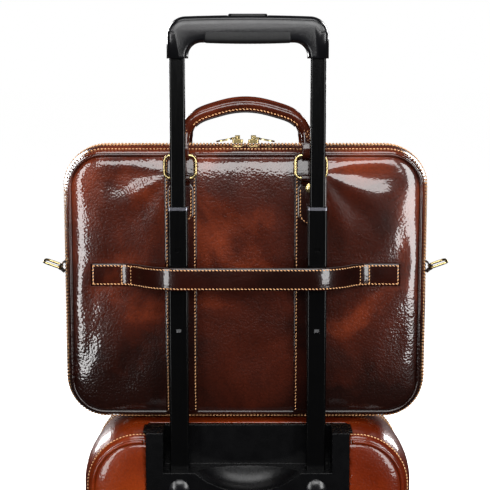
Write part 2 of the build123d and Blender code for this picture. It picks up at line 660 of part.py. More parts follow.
def panel_strap(side):
    """Upright strap sewn to the back panel."""
    middle = BAG_X + side * STRAP_SPACING / 2
    return block(middle - STRAP_WIDTH / 2, middle + STRAP_WIDTH / 2, BAG_BACK_Y - STRAP_THICKNESS, BAG_BACK_Y,
                 BAG_BASE_Z + BAG_EDGE_RADIUS, BAG_TOP_Z - STRAP_END_GAP - SOFT_GAP)


RING_Y = BAG_BACK_Y - RING_FROM_PANEL
RING_BAR_Z = RING_BASE_Z + RING_WIRE / 2
LOOP_BACK_Y = TUBE_Y + GRIP_DEPTH / 2 + INSERT_PROUD + LOOP_TO_GRIP


def chape(side):
    """Leather chape that holds a ring: rounded flap, loop round the ring's lower bar, and rivet."""
    middle = BAG_X + side * STRAP_SPACING / 2
    front = BAG_BACK_Y - STRAP_THICKNESS
    half = CHAPE_WIDTH / 2
    flap = Pos(0, (CHAPE_BASE_Z + half + CHAPE_LOOP_Z[0]) / 2) * Rectangle(
        CHAPE_WIDTH, CHAPE_LOOP_Z[0] - CHAPE_BASE_Z - half)
    flap += Pos(0, CHAPE_BASE_Z + half) * Circle(half)
    body = prism_y(flap, front - CHAPE_THICKNESS, front)
    body += block(-LOOP_WIDTH / 2, LOOP_WIDTH / 2, LOOP_BACK_Y, front, CHAPE_LOOP_Z[0], CHAPE_LOOP_Z[1])
    hole = Pos(RING_Y, RING_BAR_Z) * Circle(RING_WIRE / 2 + PIN_GAP)
    body -= prism_x(hole, -RING_WIDTH, RING_WIDTH)
    rivet = Pos(0, RING_BAR_Z - RIVET_BELOW_RING) * Circle(RIVET_RADIUS)
    body += prism_y(rivet, front - CHAPE_THICKNESS - RIVET_RISE, front - CHAPE_THICKNESS)
    return Pos(middle, 0, 0) * body


def strap_ring(side):
    """Rectangular wire ring between a chape and a carry handle."""
    middle = BAG_X + side * STRAP_SPACING / 2
    return Pos(middle, RING_Y, RING_BAR_Z) * wire_ring(RING_WIDTH, RING_HEIGHT, RING_CORNER, RING_WIRE)


def carry_handle():
    """Rolled leather handle with a tab round the upper bar of each ring."""
    shoulder_x, shoulder_z = HANDLE_SHOULDER
    plane_y = BAG_BACK_Y - HANDLE_FROM_PANEL
    points = [(-STRAP_SPACING / 2, HANDLE_ARM_BASE_Z), (-shoulder_x, shoulder_z), (0, HANDLE_CROWN_Z),
              (shoulder_x, shoulder_z), (STRAP_SPACING / 2, HANDLE_ARM_BASE_Z)]
    radii = [HANDLE_SHOULDER_RADIUS, HANDLE_CROWN_RADIUS, HANDLE_SHOULDER_RADIUS]
    path = FilletPolyline(*[(x, plane_y, z) for x, z in points], radius=radii)
    body = sweep(Plane(path @ 0, z_dir=path % 0) * Circle(HANDLE_DIAMETER / 2), path=path)
    tab_front = BAG_BACK_Y - STRAP_THICKNESS - SOFT_GAP
    bar_z = RING_BAR_Z + RING_HEIGHT - RING_WIRE
    for side in SIDES.values():
        middle = side * STRAP_SPACING / 2
        left, right = middle - LOOP_WIDTH / 2, middle + LOOP_WIDTH / 2
        tab = block(left, right, LOOP_BACK_Y, tab_front, bar_z, HANDLE_TAB_TOP_Z)
        tab = fillet(tab.edges().filter_by(Axis.Y).group_by(Axis.Z)[-1], LOOP_WIDTH / 3)
        fold = Pos((LOOP_BACK_Y + tab_front) / 2, bar_z) * Circle((tab_front - LOOP_BACK_Y) / 2)
        tab += prism_x(fold, left, right)
        hole = Pos(RING_Y, bar_z) * Circle(RING_WIRE / 2 + PIN_GAP)
        body += tab - prism_x(hole, middle - RING_WIDTH, middle + RING_WIDTH)
    return Pos(BAG_X, 0, 0) * body


def trolley_strap():
    """Strap across the back of the bag that slips over the telescopic handle."""
    sewn_y = BAG_BACK_Y - TROLLEY_STRAP_THICKNESS / 2
    loop_y = TUBE_Y - GRIP_DEPTH / 2 - INSERT_PROUD - STRAP_TO_GRIP - TROLLEY_STRAP_THICKNESS / 2
    end = TROLLEY_STRAP_LENGTH / 2
    path = FilletPolyline((-end, sewn_y), (-end + TROLLEY_STRAP_SEWN, sewn_y),
                          (-TROLLEY_STRAP_LOOP / 2, loop_y), (TROLLEY_STRAP_LOOP / 2, loop_y),
                          (end - TROLLEY_STRAP_SEWN, sewn_y), (end, sewn_y), radius=TROLLEY_STRAP_BEND)
    band = trace(path, line_width=TROLLEY_STRAP_THICKNESS)
    half = TROLLEY_STRAP_WIDTH / 2
    return Pos(BAG_X, 0, 0) * prism_z(band, TROLLEY_STRAP_Z - half, TROLLEY_STRAP_Z + half)


# ---------------------------------------------------------------- zip sliders and side rings
SLIDER_AXIS_Z = BAG_TOP_Z + SLIDER_LIFT + SLIDER_HEIGHT + SLIDER_BRIDGE[1] / 2


def at_slider(side):
    return Pos(BAG_X + side * SLIDER_SPACING / 2, ZIP_BACK_Y + BAG_ZIP_DEPTH / 2, 0)


def zip_slider(side):
    """Zip slider with a bridge that holds its pull."""
    low = BAG_TOP_Z + SLIDER_LIFT
    body = Pos(0, 0, low + SLIDER_HEIGHT / 2) * Box(SLIDER_LENGTH, SLIDER_WIDTH, SLIDER_HEIGHT)
    body = fillet(body.edges().filter_by(Axis.Z), SLIDER_WIDTH / 4)
    bridge_length, bridge_height = SLIDER_BRIDGE
    body += Pos(0, 0, SLIDER_AXIS_Z) * Box(bridge_length, SLIDER_WIDTH / 2, bridge_height)
    hole = Pos(0, SLIDER_AXIS_Z) * Circle(PULL_WIRE / 2 + PIN_GAP)
    return at_slider(side) * (body - prism_y(hole, -SLIDER_WIDTH, SLIDER_WIDTH))


def zip_pull(side):
    """Wire link through the slider's bridge, and an oval tab lying on the bag."""
    reach, width = PULL_LINK
    link = RectangleRounded(reach, width, PULL_WIRE) - RectangleRounded(
        reach - 2 * PULL_WIRE, width - 2 * PULL_WIRE, PULL_WIRE / 2)
    link = extrude(Pos(reach / 2 - PULL_WIRE / 2, 0) * link, PULL_WIRE / 2, both=True)
    link -= Box(*PULL_PIN_ROOM)
    link += prism_y(Circle(PULL_WIRE / 2), -width / 2 + PULL_WIRE, width / 2 - PULL_WIRE)
    length, breadth, thickness = PULL_TAB
    tab = extrude(Ellipse(length / 2, breadth / 2), thickness / 2, both=True)
    tab = Pos(reach + length / 2 - 2 * PULL_WIRE, -PULL_TAB_SIDE, 0) * tab
    pull = Rot(0, PULL_DROP_DEG, 0) * (link + tab)
    if side < 0:
        pull = mirror(pull, about=Plane.YZ)
    return at_slider(side) * Pos(0, 0, SLIDER_AXIS_Z) * pull


SIDE_RING_Y = BAG_BACK_Y + SIDE_RING_FROM_PANEL


def side_tab(side):
    """Leather tab on the bag's side that holds a strap ring."""
    reach, width, height = SIDE_TAB
    face = BAG_WIDTH / 2
    profile = Pos(face + reach / 2, SIDE_RING_Z) * Rectangle(reach, height)
    profile = fillet(profile.vertices().group_by(Axis.X)[-1], reach / 2)
    body = prism_y(profile, SIDE_RING_Y - width / 2, SIDE_RING_Y + width / 2)
    hole = Pos(face + reach / 2, SIDE_RING_Z) * Circle(SIDE_RING_WIRE / 2 + PIN_GAP)
    body -= prism_y(hole, SIDE_RING_Y - width, SIDE_RING_Y + width)
    if side < 0:
        body = mirror(body, about=Plane.YZ)
    return Pos(BAG_X, 0, 0) * body


def side_ring(side):
    """Wire ring for a shoulder strap, standing out from the bag's side."""
    width, reach = SIDE_RING
    ring = wire_ring(width, reach, SIDE_RING_CORNER / 2, SIDE_RING_WIRE)
    ring = Rot(0, 90 - SIDE_RING_RISE_DEG, 0) * Rot(0, 0, 90) * ring
    ring = Pos(BAG_WIDTH / 2 + SIDE_TAB[0] / 2, SIDE_RING_Y, SIDE_RING_Z) * ring
    if side < 0:
        ring = mirror(ring, about=Plane.YZ)
    return Pos(BAG_X, 0, 0) * ring


# ---------------------------------------------------------------- the whole set
PAIRS = {
    "wheel_pod": wheel_pod, "axle": axle, "tyre": tyre, "hub": hub, "foot": foot,
    "outer_tube": outer_tube, "middle_tube": middle_tube, "inner_tube": inner_tube, "collar": collar,
    "lock_tongue": lock_tongue, "screw_cap": screw_cap, "back_strap": panel_strap, "back_chape": chape,
    "back_ring": strap_ring, "zip_slider": zip_slider, "zip_pull": zip_pull, "side_tab": side_tab,
    "side_ring": side_ring,
}
FRONT_PAIRS = {"front_strap": panel_strap, "front_chape": chape, "front_ring": strap_ring}
SINGLES = {
    "case_shell": case_shell, "lid_shell": lid_shell, "tube_board": tube_board, "base_plate": base_plate,
    "tube_bracket": tube_bracket, "case_slider": case_slider, "trolley_housing": trolley_housing,
    "grip_shell": grip_shell, "grip_insert": grip_insert, "release_button": release_button,
    "release_yoke": release_yoke, "bag_back": bag_back, "bag_front": bag_front, "bag_zip": bag_zip,
    "laptop_sleeve": laptop_sleeve, "back_handle": carry_handle, "trolley_strap": trolley_strap,
}


def build():
    """Every piece by its name."""
    shapes = {name: make() for name, make in SINGLES.items()}
    shapes["front_handle"] = to_front(carry_handle())
    for letter, side in SIDES.items():
        for name, make in PAIRS.items():
            shapes[f"{name}_{letter}"] = make(side)
        for name, make in FRONT_PAIRS.items():
            shapes[f"{name}_{letter}"] = to_front(make(side))
    return shapes


save(build())
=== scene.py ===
"""Looks of the rolling laptop case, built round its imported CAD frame.

Metres, +Z up, floor at Z = 0. -Y is the back, where the pull handle stands; +Y is the front.
"""
import math

import bmesh
import bpy
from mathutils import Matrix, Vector, noise


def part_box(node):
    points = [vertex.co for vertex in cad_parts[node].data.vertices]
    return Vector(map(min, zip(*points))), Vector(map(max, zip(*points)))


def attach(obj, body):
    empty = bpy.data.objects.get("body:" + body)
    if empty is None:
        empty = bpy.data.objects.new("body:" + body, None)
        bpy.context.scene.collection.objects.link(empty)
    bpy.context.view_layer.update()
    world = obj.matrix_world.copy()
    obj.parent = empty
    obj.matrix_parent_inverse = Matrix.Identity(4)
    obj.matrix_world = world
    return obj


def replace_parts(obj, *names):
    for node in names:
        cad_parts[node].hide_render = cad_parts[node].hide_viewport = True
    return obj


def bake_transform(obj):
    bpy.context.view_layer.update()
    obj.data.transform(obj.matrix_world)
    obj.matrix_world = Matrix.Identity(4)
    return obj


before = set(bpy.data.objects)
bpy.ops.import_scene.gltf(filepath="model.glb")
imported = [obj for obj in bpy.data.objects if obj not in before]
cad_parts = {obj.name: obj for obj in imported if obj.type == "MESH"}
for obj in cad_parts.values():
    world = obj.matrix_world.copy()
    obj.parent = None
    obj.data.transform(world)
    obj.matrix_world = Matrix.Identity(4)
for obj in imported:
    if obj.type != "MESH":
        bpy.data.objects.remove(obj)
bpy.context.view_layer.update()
MM = 0.001
SIDES = {"L": -1, "R": 1}


# ---------------------------------------------------------------- material helpers
class Look:
    """A procedural material on the Principled shader, patterned in the object's own metres."""

    def __init__(self, name, **inputs):
        self.material = bpy.data.materials.new(name)
        self.material.use_nodes = True
        self.tree = self.material.node_tree
        self.shader = self.tree.nodes["Principled BSDF"]
        for label, value in inputs.items():
            self.shader.inputs[label.replace("_", " ")].default_value = value
        self.place = self.node("ShaderNodeTexCoord").outputs["Object"]

    def node(self, kind, **inputs):
        made = self.tree.nodes.new(kind)
        for label, value in inputs.items():
            made.inputs[label.replace("_", " ")].default_value = value
        return made

    def link(self, source, target):
        self.tree.links.new(source, target)

    def stretched(self, x, y, z, turn=(0.0, 0.0, 0.0)):
        """Coordinates stretched along the axes, for marks that run one way."""
        mapping = self.node("ShaderNodeMapping", Scale=(x, y, z), Rotation=turn)
        self.link(self.place, mapping.inputs["Vector"])
        return mapping.outputs["Vector"]

    def noise(self, scale, detail=3.0, distortion=0.0, place=None):
        made = self.node("ShaderNodeTexNoise", Scale=scale, Detail=detail, Distortion=distortion)
        self.link(place or self.place, made.inputs["Vector"])
        return made.outputs["Fac"]

    def cells(self, scale, feature="F1", place=None):
        made = self.node("ShaderNodeTexVoronoi", Scale=scale)
        made.feature = feature
        self.link(place or self.place, made.inputs["Vector"])
        return made.outputs["Distance"]

    def waves(self, scale, axis):
        made = self.node("ShaderNodeTexWave", Scale=scale)
        made.bands_direction = axis
        self.link(self.place, made.inputs["Vector"])
        return made.outputs["Fac"]

    def ramp(self, fac, *stops):
        """A colour ramp with (position, colour or grey) stops."""
        made = self.node("ShaderNodeValToRGB")
        self.link(fac, made.inputs["Fac"])
        points = made.color_ramp.elements
        for index, (at, colour) in enumerate(stops):
            point = points[index] if index < 2 else points.new(at)
            point.position = at
            point.color = (*colour, 1) if isinstance(colour, tuple) else (colour, colour, colour, 1)
        return made.outputs["Color"]

    def math(self, what, first, second):
        made = self.node("ShaderNodeMath")
        made.operation = what
        for socket, value in zip(made.inputs, (first, second)):
            if isinstance(value, (int, float)):
                socket.default_value = value
            else:
                self.link(value, socket)
        return made.outputs["Value"]

    def mix(self, fac, first, second, how="MIX"):
        made = self.node("ShaderNodeMix")
        made.data_type = "RGBA"
        made.blend_type = how
        sockets = [s for s in made.inputs if s.name in ("Factor", "A", "B") and s.enabled]
        for socket, value in zip(sockets, (fac, first, second)):
            if isinstance(value, (int, float, tuple)):
                socket.default_value = (*value, 1) if isinstance(value, tuple) else value
            else:
                self.link(value, socket)
        return next(s for s in made.outputs if s.enabled)

    def height(self):
        """The place's height above the floor, in metres."""
        split = self.node("ShaderNodeSeparateXYZ")
        self.link(self.place, split.inputs["Vector"])
        return split.outputs["Z"]

    def ranged(self, value, low, high):
        """A value between 0 and 1 stretched over a range."""
        made = self.node("ShaderNodeMapRange", To_Min=low, To_Max=high)
        self.link(value, made.inputs["Value"])
        return made.outputs["Result"]

    def bump(self, heights, distance, strength=1.0, after=None):
        made = self.node("ShaderNodeBump", Strength=strength, Distance=distance)
        self.link(heights, made.inputs["Height"])
        if after:
            self.link(after, made.inputs["Normal"])
        return made.outputs["Normal"]

    def finish(self, colour=None, roughness=None, normal=None):
        for socket, name in ((colour, "Base Color"), (roughness, "Roughness"), (normal, "Normal")):
            if socket:
                self.link(socket, self.shader.inputs[name])
        return self.material


def leather(name, dark, middle, light, grain, z_dark, z_light, gloss, coat=0.85):
    """Glossy vegetable-tanned leather: blotchy dyed tone, painted shade that darkens the colour towards the bottom,
    painted shade in the hollows of the grain, pebbled grain and broad wrinkles.
    """
    look = Look(name, Coat_Weight=coat, Coat_Roughness=0.055, Specular_IOR_Level=0.12)
    blotches = look.noise(9.0, 5.0, 0.6)
    # painted shade: the colour is made darker towards the bottom, from height z_dark up to z_light
    fade = look.node("ShaderNodeMapRange", From_Min=z_dark, From_Max=z_light, To_Min=-0.22, To_Max=0.13)
    look.link(look.height(), fade.inputs["Value"])
    tone = look.math("ADD", blotches, fade.outputs["Result"])
    dye_and_painted_shade = look.ramp(tone, (0.28, dark), (0.72, light), (0.5, middle))
    pebbles = look.cells(430.0, "SMOOTH_F1")
    fine = look.noise(1500.0, 2.0)
    # painted shade: the colour is darkened in the hollows between the pebbles of the grain
    painted_grain_shade = look.ramp(pebbles, (0.25, 1.0), (0.75, 0.62))
    colour = look.mix(grain, dye_and_painted_shade, look.mix(1.0, dye_and_painted_shade, painted_grain_shade, "MULTIPLY"))
    patch = look.ramp(look.noise(5.5, 2.0, 0.4), (0.38, 0.25), (0.66, 1.0))
    wrinkles = look.noise(26.0, 4.0, 1.4, look.stretched(1.0, 1.0, 2.4, (0.0, 0.6, 0.0)))
    broad = look.bump(wrinkles, 0.0008, 0.36)
    grained = look.math("MULTIPLY", look.math("SUBTRACT", 1.0, pebbles), patch)
    normal = look.bump(fine, 0.00012, 0.5, look.bump(grained, 0.0007, grain, broad))
    look.link(look.bump(grained, 0.0004, grain * 0.6, broad), look.shader.inputs["Coat Normal"])
    return look.finish(colour, look.ranged(look.noise(22.0, 4.0), gloss - 0.06, gloss + 0.16), normal)


def metal(name, colour, roughness, scratch=0.05, metallic=1.0, specular=0.5):
    """Metal with fine scratches and handling marks."""
    look = Look(name, Metallic=metallic, Specular_IOR_Level=specular)
    marks = look.noise(420.0, 3.0, 0.2, look.stretched(1.0, 1.0, 0.12))
    tint = look.ramp(look.noise(60.0, 3.0), (0.3, tuple(c * 0.86 for c in colour)), (0.7, colour))
    rough = look.ranged(marks, roughness - scratch, roughness + scratch)
    return look.finish(tint, rough, look.bump(marks, 0.00001, 0.3))


def plastic(name, colour, roughness, texture_scale, texture_depth, specular=0.45):
    """Moulded plastic or rubber with a fine spark-eroded texture and dull patches."""
    look = Look(name, Specular_IOR_Level=specular)
    speck = look.noise(texture_scale, 2.0)
    soft_edge = look.node("ShaderNodeBevel", Radius=0.0012).outputs["Normal"]
    tint = look.ramp(look.noise(35.0, 4.0), (0.3, tuple(c * 0.8 for c in colour)),
                     (0.7, tuple(c * 1.2 for c in colour)))
    rough = look.ranged(look.noise(90.0, 3.0), roughness - 0.07, roughness + 0.07)
    return look.finish(tint, rough, look.bump(speck, texture_depth, 0.5, soft_edge))


def thread(name, colour):
    """Twisted waxed thread."""
    look = Look(name, Roughness=0.55, Sheen_Weight=0.2)
    twist = look.noise(2600.0, 2.0, 0.0, look.stretched(1.0, 0.5, 0.5))
    tint = look.ramp(twist, (0.3, tuple(c * 0.55 for c in colour)), (0.65, colour))
    return look.finish(tint, None, look.bump(twist, 0.0002, 0.7))


def weave(name, colour, scale=1500.0):
    """Woven lining or zip tape."""
    look = Look(name, Roughness=0.8, Sheen_Weight=0.3)
    across = look.waves(scale, "X")
    along = look.waves(scale, "Z")
    both = look.math("MULTIPLY", across, along)
    uneven = look.math("ADD", both, look.noise(300.0, 3.0))
    tint = look.ramp(uneven, (0.3, tuple(c * 0.6 for c in colour)), (1.0, colour))
    return look.finish(tint, None, look.bump(both, 0.0003, 0.6))


BROWN = leather("brown_leather", (0.0075, 0.0015, 0.0008), (0.034, 0.0052, 0.0020), (0.140, 0.022, 0.0065),
                0.75, 0.56, 0.86, 0.24)
BROWN_TRIM = leather("brown_trim", (0.0060, 0.0012, 0.0007), (0.017, 0.0027, 0.0012), (0.095, 0.015, 0.0045),
                     0.35, 0.64, 0.90, 0.20, 0.55)
TAN = leather("tan_leather", (0.046, 0.0042, 0.0007), (0.085, 0.0086, 0.0012), (0.155, 0.020, 0.0025),
              0.5, 0.0, 0.52, 0.24, 0.5)
DARK_EDGE = plastic("painted_edge", (0.012, 0.008, 0.007), 0.45, 900.0, 0.0001)
BRASS = metal("brass", (0.47, 0.37, 0.17), 0.26)
BLACK_TUBE = metal("black_tube", (0.0014, 0.0014, 0.0015), 0.17, 0.04, 0.2, 0.22)
TUBE_RIM = metal("tube_rim", (0.20, 0.20, 0.23), 0.3)
STEEL = metal("steel", (0.58, 0.58, 0.60), 0.25)
BLACK_PLASTIC = plastic("black_plastic", (0.0012, 0.0012, 0.0014), 0.27, 1400.0, 0.00008, 0.2)
GREY_PLASTIC = plastic("grip_plastic", (0.0030, 0.0030, 0.0036), 0.23, 1400.0, 0.00006, 0.34)
SOFT_GRIP = plastic("soft_grip", (0.0035, 0.0035, 0.0038), 0.50, 800.0, 0.0001, 0.2)
TYRE = plastic("tyre_rubber", (0.022, 0.022, 0.022), 0.75, 500.0, 0.0002, 0.3)
OCHRE = thread("ochre_thread", (0.66, 0.33, 0.13))
TAN_THREAD = thread("tan_thread", (0.70, 0.38, 0.16))
LINING = weave("lining", (0.16, 0.09, 0.05))
ZIP_TAPE = weave("zip_tape", (0.10, 0.035, 0.02), 2600.0)
ZIP_COIL = plastic("zip_coil", (0.16, 0.06, 0.028), 0.35, 900.0, 0.0001)


# ---------------------------------------------------------------- mesh helpers
STITCH_SIDES = (0.0, 1.2566, 2.5133, 3.7699, 5.0265)
CORNERS = ((-1, -1), (1, -1), (1, 1), (-1, 1))


def turned(degrees):
    """Cosine and sine of an angle in degrees."""
    angle = math.radians(degrees)
    return math.cos(angle), math.sin(angle)


def power(value, exponent):
    """A power that keeps the sign, for rounded squares."""
    return math.copysign(abs(value) ** exponent, value)


def piece(name, vertices, faces, materials, body, indices):
    """A mesh piece that rides on a body and takes the materials it is given."""
    mesh = bpy.data.meshes.new(name)
    mesh.from_pydata([tuple(v) for v in vertices], [], faces)
    for material in materials if isinstance(materials, (list, tuple)) else [materials]:
        mesh.materials.append(material)
    mesh.polygons.foreach_set("material_index", indices)
    mesh.polygons.foreach_set("use_smooth", [True] * len(mesh.polygons))
    mesh.validate()
    mended = bmesh.new()
    mended.from_mesh(mesh)
    bmesh.ops.recalc_face_normals(mended, faces=mended.faces)
    mended.to_mesh(mesh)
    mended.free()
    made = bpy.data.objects.new(name, mesh)
    bpy.context.scene.collection.objects.link(made)
    if body:
        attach(made, body)
    return made


class Build:
    """Collects the vertices, faces and material numbers of one piece."""

    def __init__(self):
        self.vertices, self.faces, self.numbers = [], [], []

    def loft(self, loops, number=0, ring=True, caps=(True, True)):
        """Joins loops of points with quads; the ends close on a middle point."""
        first, count = len(self.vertices), len(loops[0])
        for loop in loops:
            self.vertices.extend(loop)
        numbers = number if callable(number) else lambda row, column: number
        for row in range(len(loops) - 1):
            for column in range(count if ring else count - 1):
                a = first + row * count + column
                b = first + row * count + (column + 1) % count
                self.faces.append((a, b, b + count, a + count))
                self.numbers.append(numbers(row, column))
        for end, wanted in zip((0, len(loops) - 1), caps):
            if wanted and ring:
                middle = sum((Vector(p) for p in loops[end]), Vector()) / count
                self.vertices.append(middle)
                base = first + end * count
                for column in range(count):
                    pair = (base + column, base + (column + 1) % count)
                    self.faces.append((*(pair if end else reversed(pair)), len(self.vertices) - 1))
                    self.numbers.append(numbers(0 if end == 0 else len(loops) - 2, column))

    def piece(self, name, materials, body, slot):
        return piece(name, self.vertices, self.faces, materials, body, self.numbers)


def ring(width, z_low, z_high, r_low, r_high, inset=0.0, step=0.006, middle=0.0):
    """Points round an upright rounded outline; an inset keeps their number."""
    half = width / 2
    corners = ((half - r_low, z_low + r_low, r_low, -90), (half - r_high, z_high - r_high, r_high, 0),
               (r_high - half, z_high - r_high, r_high, 90), (r_low - half, z_low + r_low, r_low, 180))
    points = []
    for index, (x, z, radius, start) in enumerate(corners):
        count = max(8, round(radius * math.pi / 2 / step))
        for k in range(count + 1):
            c, s = turned(start + 90 * k / count)
            points.append((x + (radius - inset) * c, z + (radius - inset) * s))
        x2, z2, radius2, start2 = corners[(index + 1) % 4]
        c2, s2 = turned(start2)
        end = (x2 + (radius2 - inset) * c2, z2 + (radius2 - inset) * s2)
        run = math.hypot(x2 + radius2 * c2 - x - radius * c, z2 + radius2 * s2 - z - radius * s)
        pieces = max(2, round(run / step))
        begin = points[-1]
        for k in range(1, pieces):
            points.append(tuple(b + (e - b) * k / pieces for b, e in zip(begin, end)))
    return [(x + middle, z) for x, z in points]


def rounded_path(points, radii, step=0.004):
    """Straight runs joined by arcs, sampled evenly; the radii belong to the inner points."""
    points = [Vector(p) for p in points]
    path = [points[0]]
    for before, corner, after, radius in zip(points, points[1:], points[2:], radii):
        u, v = (before - corner).normalized(), (after - corner).normalized()
        half = u.angle(v) / 2
        reach = radius / math.tan(half)
        centre = corner + (u + v).normalized() * radius / math.sin(half)
        a, b = corner + u * reach - centre, corner + v * reach - centre
        turns = max(3, round((math.pi - 2 * half) * radius / step))
        path.extend(centre + a.lerp(b, k / turns).normalized() * radius for k in range(turns + 1))
    path.append(points[-1])
    return resample(path, step)


def resample(path, step, closed=False):
    """Evenly spaced points along a path."""
    path = [Vector(p) for p in path]
    if closed:
        path.append(path[0])
    lengths = [(b - a).length for a, b in zip(path, path[1:])]
    total = sum(lengths)
    count = max(1, round(total / step))
    result, index, passed = [], 0, 0.0
    for k in range(count if closed else count + 1):
        wanted = total * k / count
        while index < len(lengths) - 1 and passed + lengths[index] < wanted:
            passed += lengths[index]
            index += 1
        part = (wanted - passed) / lengths[index] if lengths[index] else 0.0
        result.append(path[index].lerp(path[index + 1], min(max(part, 0.0), 1.0)))
    return result


def softened(path, times):
    """A path with its bends drawn out by repeated averaging; the ends stay."""
    for _ in range(times):
        path = [path[0], *((a + b * 2 + c) / 4 for a, b, c in zip(path, path[1:], path[2:])), path[-1]]
        path = [path[0], *((a + b + c) / 3 for a, b, c in zip(path, path[1:], path[2:])), path[-1]]
    return path


def directions(path, closed=False):
    """The path's direction at each point."""
    count = len(path)
    found = []
    for k in range(count):
        before = path[(k - 1) % count] if closed or k else path[0]
        after = path[(k + 1) % count] if closed or k < count - 1 else path[-1]
        found.append((after - before).normalized())
    return found


def sweep(build, path, section, out, number=0, closed=False, size=None):
    """Runs a section of (side, out) points along a path. out gives the outward way at a point."""
    path = [Vector(p) for p in path]
    loops = []
    for k, (point, way) in enumerate(zip(path, directions(path, closed))):
        outward = Vector(out(point) if callable(out) else out)
        outward = (outward - way * outward.dot(way)).normalized()
        side = way.cross(outward)
        scale = size(k / max(1, len(path) - 1)) if size else 1.0
        loops.append([point + side * u * scale + outward * v * scale for u, v in section])
    if closed:
        loops.append(list(loops[0]))
    build.loft(loops, number, caps=(not closed, not closed))


def circle(radius, sides):
    return [(radius * math.cos(2 * math.pi * k / sides), radius * math.sin(2 * math.pi * k / sides))
            for k in range(sides)]


def band(width, thickness, crown=0.0004):
    """Section of a leather strap: flat back, softly crowned face, rounded edges."""
    half, soft = width / 2, min(thickness * 0.45, 0.0012)
    face = [(half - soft * 0.3, thickness - soft * 0.3), (half - soft, thickness)]
    face += [(half * (1 - k / 4) * 0.96, thickness + crown * math.sin(math.pi * k / 8)) for k in range(1, 5)]
    mirrored = [(-u, v) for u, v in reversed(face[:-1])]
    return [(-half, 0.0), (half, 0.0), (half, thickness - soft), *face, *mirrored, (-half, thickness - soft)]


def sew(build, path, out, pitch=0.0041, length=0.0028, radius=0.00068, closed=False, lift=0.0001, zigzag=0.0):
    """A row of raised stitches along a path."""
    path = resample(path, pitch, closed)
    for k, (point, way) in enumerate(zip(path, directions(path, closed))):
        outward = Vector(out(point) if callable(out) else out).normalized()
        side = way.cross(outward).normalized()
        way = (way + side * (zigzag if k % 2 else -zigzag) + side * 0.30).normalized()
        loops = []
        for along, wide in ((-0.5, 0.35), (-0.3, 0.95), (0.3, 0.95), (0.5, 0.35)):
            sunk = 0.3 * radius if abs(along) > 0.4 else 0.0
            middle = point + way * along * length + outward * (lift - sunk)
            loops.append([middle + (side * math.cos(a) + outward * math.sin(a)) * radius * wide
                          for a in STITCH_SIDES])
        build.loft(loops)


